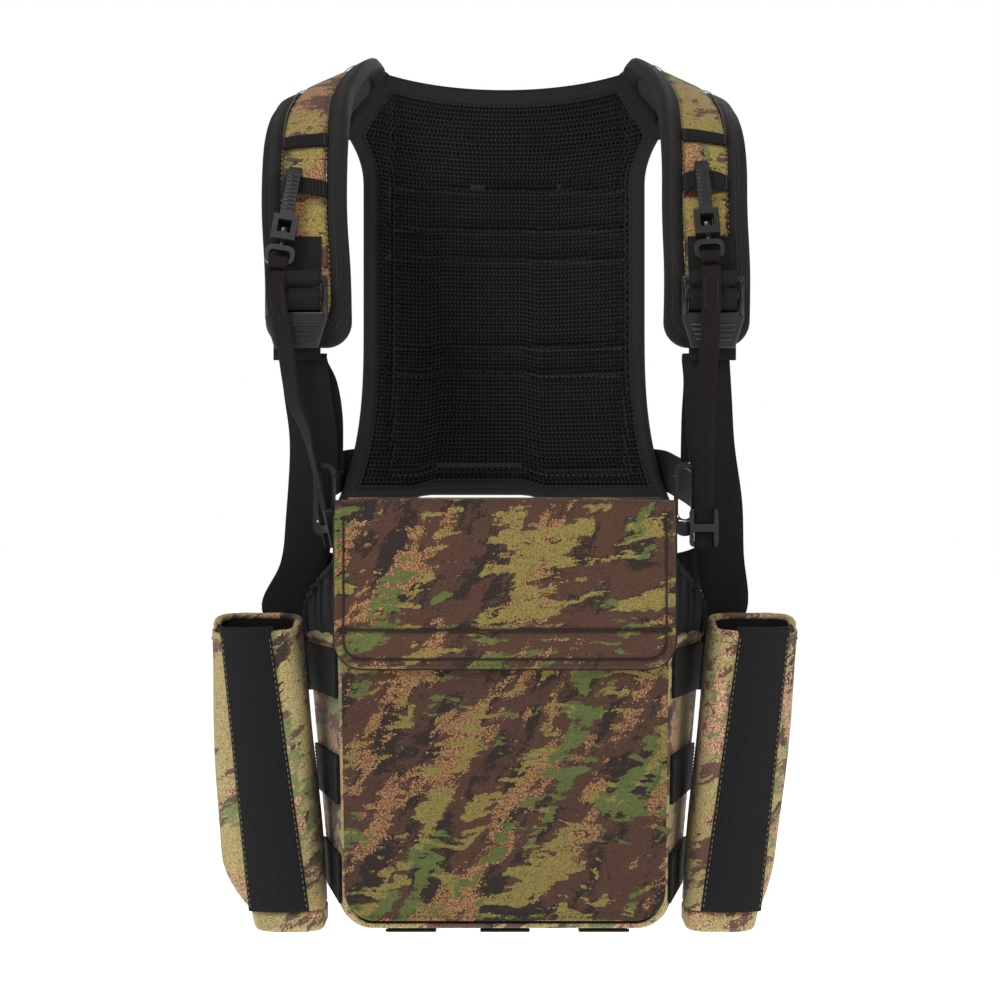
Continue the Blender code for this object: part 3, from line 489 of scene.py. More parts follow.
def seam(name, path, finish=THREAD, pitch=3.0, length=2.0, thick=0.42, body="root"):
    """A row of stitches along points that lie on the cloth, each a small bead of thread."""
    shape = bmesh.new()
    size = Matrix.Diagonal((length / 2, thick, thick, 1.0))
    left = pitch / 2
    for here, after in zip(path, path[1:]):
        reach = (after - here).length
        while left < reach:
            ahead = (after - here).normalized()
            turn = ahead.to_track_quat("X", "Z").to_matrix().to_4x4()
            place = Matrix.Translation(here + ahead * left) @ turn @ size
            bmesh.ops.create_uvsphere(shape, u_segments=6, v_segments=4, radius=1.0, matrix=place)
            left += pitch
        left -= reach
    keep(name, shape, finish, body)


def fine_seam(name, path, body="root"):
    """A dark row of small stitches, as on the pouch."""
    seam(name, path, DARK_THREAD, 3.0, 2.1, 0.36, body)


# %% Runs
def blend_points(points, along_run):
    """A point on the smooth curve through the points; along_run counts them."""
    last = len(points) - 1
    start = min(int(along_run), last - 1)
    part = along_run - start
    before, here, there, after = (points[min(max(start + step, 0), last)] for step in (-1, 0, 1, 2))
    return 0.5 * (
        2 * here
        + (there - before) * part
        + (2 * before - 5 * here + 4 * there - after) * part**2
        + (3 * here - before - 3 * there + after) * part**3
    )


class Run:
    """The centre line of a strap with its width direction; distances along it are millimetres."""

    def __init__(self, points, widths, samples=16):
        points = [Vector(point) for point in points]
        widths = [Vector(width) for width in widths]
        steps = [step / samples for step in range((len(points) - 1) * samples + 1)]
        self.points = [blend_points(points, step) for step in steps]
        self.widths = [blend_points(widths, step) for step in steps]
        self.marks = [0.0]
        for before, here in zip(self.points, self.points[1:]):
            self.marks.append(self.marks[-1] + (here - before).length)
        self.length = self.marks[-1]

    def frame(self, distance):
        last = len(self.points) - 1
        at = min(max(bisect.bisect_left(self.marks, distance) - 1, 0), last - 1)
        part = (distance - self.marks[at]) / (self.marks[at + 1] - self.marks[at])
        point = self.points[at].lerp(self.points[at + 1], part)
        ahead = (self.points[min(at + 2, last)] - self.points[max(at - 1, 0)]).normalized()
        width = self.widths[at].lerp(self.widths[at + 1], part).normalized()
        return point, width, ahead.cross(width).normalized()

    def place(self, distance, offset, height):
        point, width, outward = self.frame(distance)
        return point + width * offset + outward * height

    def distance_at_z(self, level):
        top = max(range(len(self.points)), key=lambda i: self.points[i].z)
        return self.marks[next(i for i in range(top, len(self.points)) if self.points[i].z <= level)]


WEB_WIDTH, WEB_THICK = 25.0, 1.6


def strap(name, run, width, thick, finish, start=0.0, body="root", step=3.0):
    cuts = (round((run.length - start) / step), 4)
    ends = ((start, run.length), (-width / 2, width / 2))
    return sheet(name, *ends, cuts, run.place, finish, (-thick / 2, thick / 2), body, bevel=thick * 0.3)


# %% [markdown]
# ## Moulded pieces
# The frame already holds the buckles and hooks at their true size. A copy of each one is welded into clean faces, and
# a fine bevel rounds its edges, because an edge that catches the light is what makes a moulding look real.


# %% Soften a moulding
MOVING = {"lid_top": "lid", "lid_flap": "flap", "flap_magnet": "flap"}
for side in SIDES:
    MOVING |= {f"hook_body_{side}": f"hook_{side}", f"hook_gate_{side}": f"snap_gate_{side}"}
    MOVING |= {f"ladderlock_{side}": f"buckle_{side}", f"webbing_wrap_{side}": f"buckle_{side}"}
    MOVING |= {f"triglide_{side}": f"glide_{side}", f"gate_hook_gate_{side}": f"ring_gate_{side}"}


def soften(node, name, finish, width, segments=3):
    shape = bmesh.new()
    shape.from_mesh(bpy.data.objects[node].data)
    bmesh.ops.remove_doubles(shape, verts=shape.verts, dist=0.00002)
    bmesh.ops.dissolve_limit(shape, angle_limit=math.radians(3), verts=shape.verts, edges=shape.edges)
    bmesh.ops.scale(shape, vec=(1 / MM,) * 3, verts=shape.verts)
    piece = keep(name, shape, finish, MOVING.get(node, "root"), width, segments)
    piece.modifiers["soft_edge"].angle_limit = math.radians(28)
    piece.data.set_sharp_from_angle(angle=math.radians(50))
    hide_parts(node)


# %% [markdown]
# ## Padding
# A padded piece is blown up a little as cloth: its solid is remeshed into even small faces, the cloth solver inflates
# it, and no point may move more than a set way. Then one subdivision smooths it.

# %% Swell a pad
VOXEL = 3.5
MOST_SWELL = 2.4
PRESSURE = 4.0
CLOTH_STEPS = 15


def swell(piece):
    remesh = piece.modifiers.new("even", "REMESH")
    remesh.mode = "VOXEL"
    remesh.voxel_size = VOXEL * MM
    remesh.use_smooth_shade = True
    bake(piece)
    start = [vert.co.copy() for vert in piece.data.vertices]
    cloth = piece.modifiers.new("cloth", "CLOTH")
    cloth.settings.use_pressure = True
    cloth.settings.uniform_pressure_force = PRESSURE
    cloth.settings.effector_weights.gravity = 0
    cloth.settings.quality = 5
    for step in range(1, CLOTH_STEPS + 1):
        scene.frame_set(step)
    bake(piece)
    scene.frame_set(1)
    for vert, before in zip(piece.data.vertices, start):
        moved = vert.co - before
        if moved.length > MOST_SWELL * MM:
            vert.co = before + moved.normalized() * MOST_SWELL * MM
    smooth = piece.modifiers.new("smooth", "SUBSURF")
    smooth.levels = smooth.render_levels = 1
    bake(piece)
    piece.data.shade_smooth()


def bake(piece):
    """Apply the piece's modifiers to its mesh."""
    graph = bpy.context.evaluated_depsgraph_get()
    done = bpy.data.meshes.new_from_object(piece.evaluated_get(graph))
    piece.modifiers.clear()
    piece.data = done


def solid_copy(name, node, finish):
    """A welded copy of a node's solid, ready to be swollen."""
    shape = bmesh.new()
    shape.from_mesh(bpy.data.objects[node].data)
    bmesh.ops.remove_doubles(shape, verts=shape.verts, dist=0.00002)
    bmesh.ops.scale(shape, vec=(1 / MM,) * 3, verts=shape.verts)
    return keep(name, shape, finish, None)


print("tools ready")

# %% [markdown]
# ## Back panel
# The back panel is a foam pad with black spacer mesh towards the wearer and printed cloth outside. Rows of stitching
# press the mesh into a quilted block. Here one formula crowns the mesh and presses the channels in along the same
# lines, and a herringbone tape closes the edge.

# %% The back panel's outline
BACK_LOW, BACK_NECK, NECK_RISE = -226.0, 19.0, 8.0
MESH_INSET, CLOTH_INSET = 9.6, 9.8
BACK_TAPE_WIDTH = 10.4


def back_half(level):
    if level > -8:
        return 95 - 24 * (level + 8) / 35
    if level > -36:
        return 86 + 9 * ((level + 36) / 28) ** 2
    if level > -120:
        return 86.0
    return 86 + 14 * ((-120 - level) / 106) ** 3


def back_point(u, v, height, inset=0.0):
    droop = min(1.0, max(0.0, (abs(u + 0.17) - 0.28) / 0.2))
    low = BACK_LOW + inset - 4.2 * droop * droop * (3 - 2 * droop)
    high = BACK_NECK + NECK_RISE * u * u - inset
    level = low + v * (high - low)
    x = u * (back_half(level) - inset)
    lean = 0.006 * max(0.0, level + 40) ** 2 + 0.0008 * x * x
    return Vector((x, 100.0 - lean + height, level))


# %% Cushion with sewn channels
CHANNELS_Z = (-40.0, -64.0, -82.0, -135.0, -151.0, -210.0)
BLOCK_X = (-68.0, 74.0)


def groove(distance, middle, width):
    return math.exp(-(((distance - middle) / width) ** 2))


def channel(x, z):
    """How deep the stitching presses at a place: 1 on a line, 0 away from it."""
    near = 0.0
    if BLOCK_X[0] - 4 < x < BLOCK_X[1] + 4 and -214 < z:
        near = max(groove(z, line, 2.4) for line in CHANNELS_Z)
    if z > -212:
        near = max(near, *(groove(x, line, 2.4) for line in BLOCK_X))
    return near


def rib_puff(x, z):
    """The cushion crowns between its lines and thins towards the tape."""
    across = max(0.0, 1 - (abs(x) / 84) ** 6)
    up = max(0.0, 1 - (abs(z + 104) / 116) ** 8)
    return across * up


def mesh_place(u, v, height):
    point = back_point(u, v, height, MESH_INSET)
    if height < -3:
        lift = 4.0 * rib_puff(point.x, point.z) - 4.4 * channel(point.x, point.z)
        point.y -= max(lift, -1.5)
    return point


COLUMNS, ROWS = 66, 92
MESH_FACE, MESH_BACK = -4.2, -1.5


def dimpled_mesh():
    """Spacer mesh: a field of small four-sided holes, every other row shifted by half a hole, their floors near-black
    as painted shade.
    """
    shape = bmesh.new()
    bmesh.ops.create_grid(shape, x_segments=COLUMNS, y_segments=ROWS, size=0.5)
    for vert in shape.verts:
        row = round((vert.co.y + 0.5) * ROWS)
        inside = 0.4 < (vert.co.x + 0.5) * COLUMNS < COLUMNS - 0.4
        shift = (0.25 if row % 2 else -0.25) / COLUMNS if inside else 0.0
        vert.co = (2 * (vert.co.x + shift), vert.co.y + 0.5, MESH_FACE)
    thicken(shape, MESH_BACK)
    bend(shape, mesh_place)
    bmesh.ops.recalc_face_normals(shape, faces=shape.faces)
    holes = [face for face in shape.faces if face.normal.y < -0.6]
    bmesh.ops.inset_individual(shape, faces=holes, thickness=0.55, depth=-1.0)
    # The hole floors take the near-black painted shade finish.
    for face in holes:
        face.material_index = 1
    made = keep("back_spacer_mesh", shape, MESH)
    made.data.materials.append(MESH_HOLE_SHADE)
    return made


spacer = dimpled_mesh()
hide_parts("back_mesh")
refinish(bpy.data.objects["back_foam"], LINING)
print("spacer mesh faces", len(spacer.data.polygons))


# %% Outer cloth and edge tape
def back_cloth_place(u, v, height):
    point = back_point(u, v, height, CLOTH_INSET)
    point.y += (height > 3) * (3.2 * rib_puff(point.x, point.z) - 2.2 * channel(-point.x, point.z))
    return point


WHOLE = (-1, 1), (0, 1)
back_cloth = sheet("back_outer_cloth", *WHOLE, (60, 80), back_cloth_place, CAMO, (2.7, 4.6), bevel=0.3)
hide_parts("back_shell")


def back_border(count_u=40, count_v=70):
    """The edge as steps of u and v, round the corners once."""
    across = [-1 + 2 * step / count_u for step in range(count_u + 1)]
    up = [step / count_v for step in range(count_v + 1)]
    steps = [(u, 0.0) for u in across[:-1]] + [(1.0, v) for v in up[:-1]]
    return steps + [(u, 1.0) for u in across[:0:-1]] + [(-1.0, v) for v in up[:0:-1]]


BORDER = back_border()


def border_place(step, inward, height):
    u, v = BORDER[step]
    return back_point(u, v, height, inward * BACK_TAPE_WIDTH)


back_tape = edge_tape("back_edge_tape", len(BORDER), border_place, True, BACK_TAPE_WIDTH, 10.8)
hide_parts("back_binding")
ring = [border_place(step, 0.93, -5.0) for step in range(len(BORDER))]
seam("back_tape_seam", ring + ring[:1], DARK_THREAD)
print("edge tape", len(BORDER), "steps")

# %% Channel stitching
for number, level in enumerate(CHANNELS_Z, 1):
    row = []
    for step in range(41):
        x = span(BLOCK_X, step / 40)
        tall = BACK_NECK + NECK_RISE * (x / 90) ** 2 - BACK_LOW - 2 * MESH_INSET
        v = (level - BACK_LOW - MESH_INSET) / tall
        point = mesh_place(x / (back_half(level) - MESH_INSET), v, MESH_FACE)
        row.append(point + Vector((0, -0.2, 0)))
    seam(f"channel_seam_{number}", row, DARK_THREAD, 3.4, 2.4)

# %% [markdown]
# ## Shoulder straps
# Each strap is a padded band of printed cloth with wide herringbone tape round its edge. It runs from the back panel
# over the shoulder and ends in a round foot with a patch of webbing that holds the buckle. Its pad is swollen as
# cloth; its tape follows the strap's edge.

# %% The strap's run and half width
STRAP_END = {"left": 104.0, "right": 107.0}
BAND_Z = {"left": (-38.0, -64.0), "right": (-35.0, -60.0)}
HOOK_X = {"left": -113.5, "right": 105.8}
TAPE_WIDTH = 9.5
END_ROUND = 14.0
STRAP_START = 1.5
TAPE_REACH = 1.6


def strap_run(side):
    sign = SIDES[side]
    end_x = STRAP_END[side]
    points = [(86.5, 75.6, 11.0), (90.5, 59, 14), (97, 34, 14.5), (103, 0, 6), (107, -36, -10)]
    points += [(108, -63, -27), (108, -82, -48), (107.5, -92, -76), (end_x + 1, -101, -110), (end_x, -105, -148)]
    widths = [Vector(way).normalized() for way in ((24, 17.6, -35), (31, 9, -28), (38, 3, -22))]
    for tilt in (24, 17, 10, 4, 0, 0, 0):
        widths.append(Vector((math.cos(math.radians(tilt)), 0, -math.sin(math.radians(tilt)))))
    mirrored = [(way.x, sign * way.y, sign * way.z) for way in widths]
    return Run([(sign * x, y, z) for x, y, z in points], mirrored)


def strap_half(run, distance):
    crest = max(0.0, 1 - abs(distance - 55) / 55)
    half = 23 + 3 * math.sin(crest * math.pi / 2)
    left = run.length - distance
    if left >= END_ROUND:
        return half
    return half - END_ROUND + math.sqrt(max(END_ROUND**2 - (END_ROUND - left) ** 2, 0.0))


RUNS = {side: strap_run(side) for side in SIDES}


# %% Pad and tape of each strap
def strap_tape(side):
    run = RUNS[side]
    straight = run.length - END_ROUND
    distances = [span((STRAP_START, straight), step / 70) for step in range(71)]
    distances += [run.length - END_ROUND * (1 - math.sin(math.radians(6 * k))) for k in range(1, 16)]
    steps = [(d, 1) for d in distances]
    steps += [(run.length, 1 - 2 * k / 10) for k in range(1, 10)]
    steps += [(d, -1) for d in distances[::-1]]
    scale = (run.length - TAPE_WIDTH - TAPE_REACH - STRAP_START) / (run.length - STRAP_START)

    def place(step, inward, height):
        distance, edge = steps[step]
        at = STRAP_START + (distance - STRAP_START) * (1 + (scale - 1) * inward)
        outer = strap_half(run, distance)
        softer = strap_half(run, min(distance, run.length - 3.0))
        outer += (softer - TAPE_WIDTH - TAPE_REACH - outer) * inward
        return run.place(at, edge * outer, height)

    tape = edge_tape("shoulder_tape_" + side, len(steps), place, False, TAPE_WIDTH, 9.6)
    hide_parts("shoulder_binding_" + side)
    edge = [place(step, 0.99, 4.9) for step in range(len(steps))]
    seam("shoulder_seam_" + side, edge, THREAD, 3.2, 2.4, 0.36)


def line_underside(pad, side):
    """The side towards the wearer is spacer mesh, not printed cloth."""
    run = RUNS[side]
    marks = [run.frame(run.length * step / 28) for step in range(29)]
    pad.data.materials.append(MESH)
    for face in pad.data.polygons:
        place = face.center / MM
        outward = min(marks, key=lambda mark: (mark[0] - place).length_squared)[2]
        face.material_index = int(face.normal.dot(outward) < -0.2)


for side in SIDES:
    pad = solid_copy("shoulder_padding_" + side, "shoulder_pad_" + side, CAMO_STRAP)
    swell(pad)
    line_underside(pad, side)
    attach(pad, "root")
    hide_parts("shoulder_pad_" + side)
    strap_tape(side)
    print("strap", side, round(RUNS[side].length), "mm")


# %% Yoke seams
def yoke_seam(side):
    """The taped seam that joins a strap to the back panel's slanted shoulder."""
    run, sign = RUNS[side], SIDES[side]
    points = []
    for step in range(13):
        share = step / 12
        strap_side = run.place(STRAP_START, sign * span((-23.6, 23.6), share), 0)
        v = (span((26.0, -9.0), share) - BACK_LOW) / (BACK_NECK + NECK_RISE - BACK_LOW)
        points.append((strap_side + back_point(sign, v, 0.0)) / 2)
    tube("yoke_seam_" + side, points, 5.3, TAPE, around=16)


for side in SIDES:
    yoke_seam(side)

# %% [markdown]
# Two short bands of ribbed webbing cross each strap. The upper one lies flat and the lower one stands off it a
# little, because the snap hook is clipped behind it.

# %% Bands and anchor patches
def strap_band(side, name, level, rise):
    run, sign = RUNS[side], SIDES[side]
    middle = run.distance_at_z(level)
    half = strap_half(run, middle) - TAPE_WIDTH - 1.0
    hook_at = HOOK_X[side] - run.frame(middle)[0].x

    def place(distance, offset, height):
        reach = half - hook_at if offset > hook_at else half + hook_at
        share = min(1.0, abs(offset - hook_at) / reach)
        lift = rise * math.cos(share * math.pi / 2) ** 0.7 if share < 1 else 0.0
        return run.place(distance, offset, 4.3 + lift + height)

    ends = (middle - 4.5, middle + 4.5), (-half, half)
    band = sheet(f"ribbed_band_{name}_{side}", *ends, (4, 44), place, BAND, (0.0, 1.6))
    for entry in band.data.uv_layers[0].data:
        entry.uv = (entry.uv.y, entry.uv.x)
    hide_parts(f"strap_band_{name}_{side}")
    for end in (-1, 1):
        tack = [place(middle + d, end * (half - 1.6), 1.7) for d in (-4, -2, 0, 2, 4)]
        where = "inner" if end * sign < 0 else "outer"
        seam(f"band_tack_{name}_{side}_{where}", tack, DARK_THREAD, 1.6, 1.3)


LOCK_X, LOCK_Y, LOCK_Z = 110.0, -114.5, -112.0


def anchor(side):
    run, x = RUNS[side], SIDES[side] * LOCK_X
    top, low = run.distance_at_z(-89.5), run.distance_at_z(-105.0)
    points = []
    for step in range(4):
        point = run.place(span((top, low), step / 3), 0, 6.1)
        points.append((x, point.y, point.z))
    for turn in range(0, -281, -40):
        angle = math.radians(turn)
        points.append((x, LOCK_Y + 3.9 * math.cos(angle), LOCK_Z + 3.9 * math.sin(angle)))
    webbing = Run(points, [(1, 0, 0)] * len(points))
    piece = strap("anchor_strap_" + side, webbing, WEB_WIDTH, 1.0, WEBBING, step=1.5)
    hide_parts("anchor_webbing_" + side)
    for row in (3.0, 12.0):
        zigzag = [webbing.place(row + 1.2 * (step % 2), -11.0 + step, -0.7) for step in range(23)]
        seam(f"anchor_tack_{round(row)}_{side}", zigzag, THREAD, 1.5, 1.3, 0.3)


for side in SIDES:
    for name, level, rise in zip(("upper", "lower"), BAND_Z[side], (0.8, 7.6)):
        strap_band(side, name, level, rise)
    anchor(side)
print("bands and anchors")

# %% [markdown]
# ## Long webbing
# One length of 25 mm webbing goes up from the pouch, turns over just under the buckle and comes down again behind
# itself as a free tail. A shorter piece wraps the buckle's bar and hangs to where the long one turns; the two meet
# there but aren't joined. A second strap goes round the wearer's side and lies on the back panel's outer face.

# %% Webbing runs
TAILS = {
    "left": ((-99, -98.4, -214), (-99, -98.6, -185), (-102, -99, -166)),
    "right": ((106.5, -98.4, -209), (107, -98.6, -185), (108, -99, -166)),
}
LOADS = {
    "left": ((-104.5, -108.5, -174), (-101.5, -109, -200), (-103.5, -109, -237), (-106.5, -107.5, -262)),
    "right": ((108, -108.5, -174), (109.5, -109, -200), (113.5, -109, -230), (114.5, -107.5, -258)),
}
TORSO = ((74, 102.2, -208), (86, 101.0, -209.5), (97.5, 96.5, -211), (103, 82, -214), (112, 45, -222))
TORSO += ((116, 0, -234), (115, -50, -250), (108, -86, -262), (99, -100.0, -268), (84, -103.7, -271))


def long_webbing(side):
    sign = SIDES[side]
    turn = ((sign * 107, -100.4, -155), (sign * 107, -103.6, -151.6), (sign * 107, -107, -155))
    foot = ((sign * 117, -103.5, -285), (sign * 108, -101, -306), (sign * 96, -103.6, -330))
    points = TAILS[side] + turn + LOADS[side] + foot
    webbing = Run(points, [(-1, 0, 0)] * len(points))
    piece = strap("long_webbing_" + side, webbing, WEB_WIDTH, WEB_THICK, WEBBING)
    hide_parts("load_webbing_" + side)
    for row in (4.0, 8.0):
        tack = [webbing.place(row, offset, -1.0) for offset in (-11, 0, 11)]
        seam(f"tail_tack_{round(row)}_{side}", tack, DARK_THREAD, 1.6, 1.3)


def wrap_webbing(side):
    x, bar = SIDES[side] * LOCK_X, LOCK_Z - 9.0
    offsets = ((-1.2, -7.4), (-3.0, -3.5), (-3.7, 0.3), (-1.6, 3.3))
    offsets += ((1.8, 3.2), (3.9, 0.2), (3.7, -12.0), (3.7, -34.0))
    points = [(x, LOCK_Y + y, bar + z) for y, z in offsets]
    wrap = Run(points, [(1, 0, 0)] * len(points))
    piece = strap("buckle_webbing_" + side, wrap, WEB_WIDTH, 1.2, WEBBING, body="buckle_" + side, step=1.5)
    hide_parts("webbing_wrap_" + side)


def side_strap(side):
    run = Run([(SIDES[side] * x, y, z) for x, y, z in TORSO], [(0, 0, 1)] * len(TORSO))
    piece = strap("side_strap_" + side, run, WEB_WIDTH, WEB_THICK, WEBBING)
    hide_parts("torso_strap_" + side)


for side in SIDES:
    long_webbing(side)
    wrap_webbing(side)
    side_strap(side)
print("long webbing")

# %% Narrow tethers
HANG_Y = -131.5
TETHERS = {
    "left": [(-121.0, -118.0, -107.5), (-119.5, -124.0, -124.0), (-114.5, -130.0, -150.0)],
    "right": [(108.6, -118.0, -104.0), (108.4, -124.0, -122.0), (107.0, -130.0, -148.0)],
}
LEFT_HANG = ((-110.5, -176.0), (-103.7, -193.0), (-101.2, -203.4), (-97.2, -220.4), (-93.2, -237.4), (-89.4, -254.0))
TETHERS["left"] += [(x, HANG_Y, z) for x, z in LEFT_HANG]
TETHERS["right"] += [(104.8, HANG_Y, -172.0)]
TETHERS["right"] += [(103.8, HANG_Y, z) for z in (-190.0, -206.0, -222.0, -238.0, -254.0)]
TETHER_TURN = {"left": 70.0, "right": 0.0}
TETHER_WIDTH, TETHER_THICK = 10.0, 1.2


def tether(side):
    points = TETHERS[side]
    turns = [math.radians(TETHER_TURN[side] * min(1.0, step / 5)) for step in range(len(points))]
    run = Run(points, [(math.cos(turn), -math.sin(turn), 0) for turn in turns])
    piece = strap("tether_tape_" + side, run, TETHER_WIDTH, TETHER_THICK, TETHER, start=2.0, step=2.5)
    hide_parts("tether_" + side)
    for edge in (-1, 1):
        row = [run.place(span((8.0, 26.0), step / 6), edge * 3.2, 0.7) for step in range(7)]
        seam(f"tether_seam_{side}_{'low' if edge < 0 else 'high'}", row, DARK_THREAD, 2.0, 1.5, 0.3)


for side in SIDES:
    tether(side)
print("tethers")

# %% [markdown]
# ## Buckles and hooks
# Each moulding is softened from its solid. The buckle gets fine grip ribs on its tab and a raised rail along each
# side, the snap hook gets a ribbed spine, and the ring gets a bright pin at its gate.

# %% Mouldings
SOFT = {"ladderlock": 0.9, "hook_body": 0.9, "hook_gate": 0.5, "hook_eye": 0.7, "triglide": 0.6}
SOFT |= {"gate_hook": 1.1, "gate_hook_gate": 0.5}
for side in SIDES:
    for node, width in SOFT.items():
        finish = GLOSS_PLASTIC if "gate" in node else PLASTIC
        soften(f"{node}_{side}", f"moulded_{node}_{side}", finish, width)
print("mouldings", len(SOFT) * 2)


# %% Grip ribs, rails and pins
def bead(name, ends, radius, finish, body):
    """A round-ended bar between two points."""
    shape = bmesh.new()
    low, high = (Vector(end) for end in ends)
    way = (high - low).normalized().to_track_quat("Z", "Y").to_matrix().to_4x4()
    bmesh.ops.create_uvsphere(shape, u_segments=12, v_segments=8, radius=radius)
    for vert in shape.verts:
        if abs(vert.co.z) > 1e-4:
            vert.co.z += math.copysign((high - low).length / 2, vert.co.z)
    bmesh.ops.transform(shape, matrix=Matrix.Translation((low + high) / 2) @ way, verts=shape.verts)
    keep(name, shape, finish, body)


def buckle_details(side):
    x, front = SIDES[side] * LOCK_X, LOCK_Y - 2.2
    body = "buckle_" + side
    for edge in (-1, 1):
        rail = edge * 14.9
        rail_ends = (x + rail, front, -113.5), (x + rail, front, -131.0)
        bead(f"buckle_rail_{side}_{'low' if edge < 0 else 'high'}", rail_ends, 1.2, GLOSS_PLASTIC, body)
    for number in range(4):
        level = -136.6 - 2.6 * number
        half = 11.6 - 0.8 * number
        ends = (x - half, front, level), (x + half, front, level)
        bead(f"buckle_grip_{number + 1}_{side}", ends, 0.75, PLASTIC, body)


HOOK_LEAN = {"left": 9.0, "right": -4.0}
EYE_BAR = Vector((0, -13.5, -45.4))


def hook_place(side):
    """The snap hook's own frame: Y out of the strap, Z up, zero behind the lower band."""
    run = RUNS[side]
    point = run.frame(run.distance_at_z(BAND_Z[side][1]))[0]
    turn = Matrix.Rotation(math.radians(HOOK_LEAN[side]), 4, "Y") @ Matrix.Rotation(math.radians(-17.0), 4, "X")
    return Matrix.Translation((HOOK_X[side], point.y, point.z)) @ turn


def hook_details(side):
    place = hook_place(side)
    for number in range(9):
        level = -15.6 + 2.3 * number
        ends = place @ Vector((-2.6, -17.5, level)), place @ Vector((2.6, -17.5, level))
        bead(f"hook_rib_{number + 1}_{side}", ends, 0.55, GLOSS_PLASTIC, "hook_" + side)


def tether_loop(side):
    """The tether's end, folded round the lower bar of the hook's eye."""
    place = hook_place(side)
    turns = [math.radians(260 - 35 * step) for step in range(10)]
    offsets = [Vector((0, 3.1 * math.cos(turn), 3.1 * math.sin(turn))) for turn in turns]
    offsets += [Vector((0, 0.8, down)) for down in (-5.2, -8.2)]
    points = [place @ (EYE_BAR + offset) for offset in offsets]
    widths = [place.to_3x3() @ Vector((1, 0, 0))] * len(points)
    strap("tether_loop_" + side, Run(points, widths), TETHER_WIDTH, TETHER_THICK, TETHER, step=1.2)


for side, sign in SIDES.items():
    buckle_details(side)
    hook_details(side)
    tether_loop(side)
    pin = (sign * 91.6, -122.9, -240.2), (sign * 98.0, -122.9, -240.2)
    bead("ring_pin_" + side, pin, 0.9, STEEL, "root")
print("buckle and hook details")

# %% [markdown]
# ## Main pouch
# The pouch is a box of stiffened cloth: a front panel, a gusset round the sides and foot, and a rear panel of soft
# black cloth. The front panel crowns a little and its seam draws in at the edge. Ribbed webbing crosses the gusset in
# three rows, and three loops run under the foot.

# %% Pouch outlines
FRONT_Y, REAR_Y = -185.0, -105.0
FRONT_LOW_Z, FRONT_TOP_Z, FRONT_CORNER = -439.5, -246.0, 15.0
HEM_Z = -299.0
LINING_TOP_Z = -258.0
PANEL_THICK = 2.7


def limited(value):
    """The value, kept between 0 and 1."""
    return min(1.0, max(0.0, value))


def taper(level):
    return limited((level + 440.0) / 140.0)


def pouch_half(level, depth):
    front = 80.0 + 2.0 * taper(level) + 0.8
    rear = 92.0 + 12.5 * taper(level) - 16.0 * max(0.0, (level + 300.0) / 42.0)
    return front + (rear - front) * depth


def depth_to_y(depth):
    return -182.0 + 74.0 * depth


def foot_level(depth):
    return -443.5 - 4.0 * min(1.0, depth / 0.3)


LINE_ROWS, LINE_TURNS = 26, 12


def gusset_line(depth, inset, top):
    """The gusset's line from the top left, round the foot, to the top right."""
    foot = foot_level(depth) + inset
    radius = max(6.0, 16 + 4 * depth - inset)
    left = []
    for row in range(LINE_ROWS + 1):
        level = span((top, foot + radius), row / LINE_ROWS)
        left.append((-(pouch_half(level, depth) - inset), level))
    corner_x = left[-1][0] + radius
    for step in range(1, LINE_TURNS + 1):
        turn = math.radians(180 + 90 * step / LINE_TURNS)
        left.append((corner_x + radius * math.cos(turn), foot + radius + radius * math.sin(turn)))
    half = left + [(corner_x * (1 - step / 8), foot) for step in range(1, 9)]
    return half + [(-x, level) for x, level in half[-2::-1]]


# %% Gusset and lining
LINE_STEPS = len(gusset_line(0.0, 0.0, HEM_Z)) - 1


def gusset_sheet(name, top, heights, depths, finish):
    lines = {}

    def place(step, depth, inward):
        key = (round(depth, 4), inward)
        if key not in lines:
            lines[key] = gusset_line(depth, inward, top)
        x, level = lines[key][round(step)]
        return Vector((x, depth_to_y(depth), level))

    return sheet(name, (0, LINE_STEPS), depths, (LINE_STEPS, 12), place, finish, heights, bevel=0.6)


gusset = gusset_sheet("gusset_cloth", HEM_Z, (0.0, 2.4), (0.0, 1.0), CAMO_SIDE_LIT)
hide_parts("pouch_gusset")
lining = gusset_sheet("pouch_lining_cloth", LINING_TOP_Z, (2.7, 4.2), (0.01, 0.99), LINING)
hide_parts("pouch_lining")
print("gusset", LINE_STEPS, "steps")


# %% A panel with round corners
def rounded_level(share, low, high, radius, ends=(True, True)):
    """Level and side draw-in at a share of the way up, with round corners at the foot and the top."""
    part = 0.16
    if ends[0] and share < part:
        turn = share / part * math.pi / 2
        return low + radius * (1 - math.cos(turn)), radius * (1 - math.sin(turn))
    if ends[1] and share > 1 - part:
        turn = (1 - share) / part * math.pi / 2
        return high - radius * (1 - math.cos(turn)), radius * (1 - math.sin(turn))
    first = part if ends[0] else 0.0
    last = 1 - part if ends[1] else 1.0
    inner = (low + radius * ends[0], high - radius * ends[1])
    return span(inner, (share - first) / (last - first)), 0.0


def edge_distance(x, level, half, low, radius):
    """How far a place lies inside a panel's outline with round lower corners."""
    side, down = abs(x) - (half - radius), low + radius - level
    if side > 0 and down > 0:
        return radius - math.hypot(side, down)
    return min(half - abs(x), level - low)


def front_place(u, share, height):
    level, draw = rounded_level(share, FRONT_LOW_Z, FRONT_TOP_Z, FRONT_CORNER)
    half = 80.0 + 2.0 * taper(level)
    x = u * (half - draw)
    y = FRONT_Y + height
    if height < 1 and level < -316:
        up = math.sin(math.pi * limited((level - FRONT_LOW_Z) / 123.5)) ** 0.6
        y -= 3.0 * (1 - abs(u) ** 3) * up
        y += 0.8 * groove(edge_distance(x, level, half, FRONT_LOW_Z, FRONT_CORNER), 4.2, 1.1)
    return Vector((x, y, level))


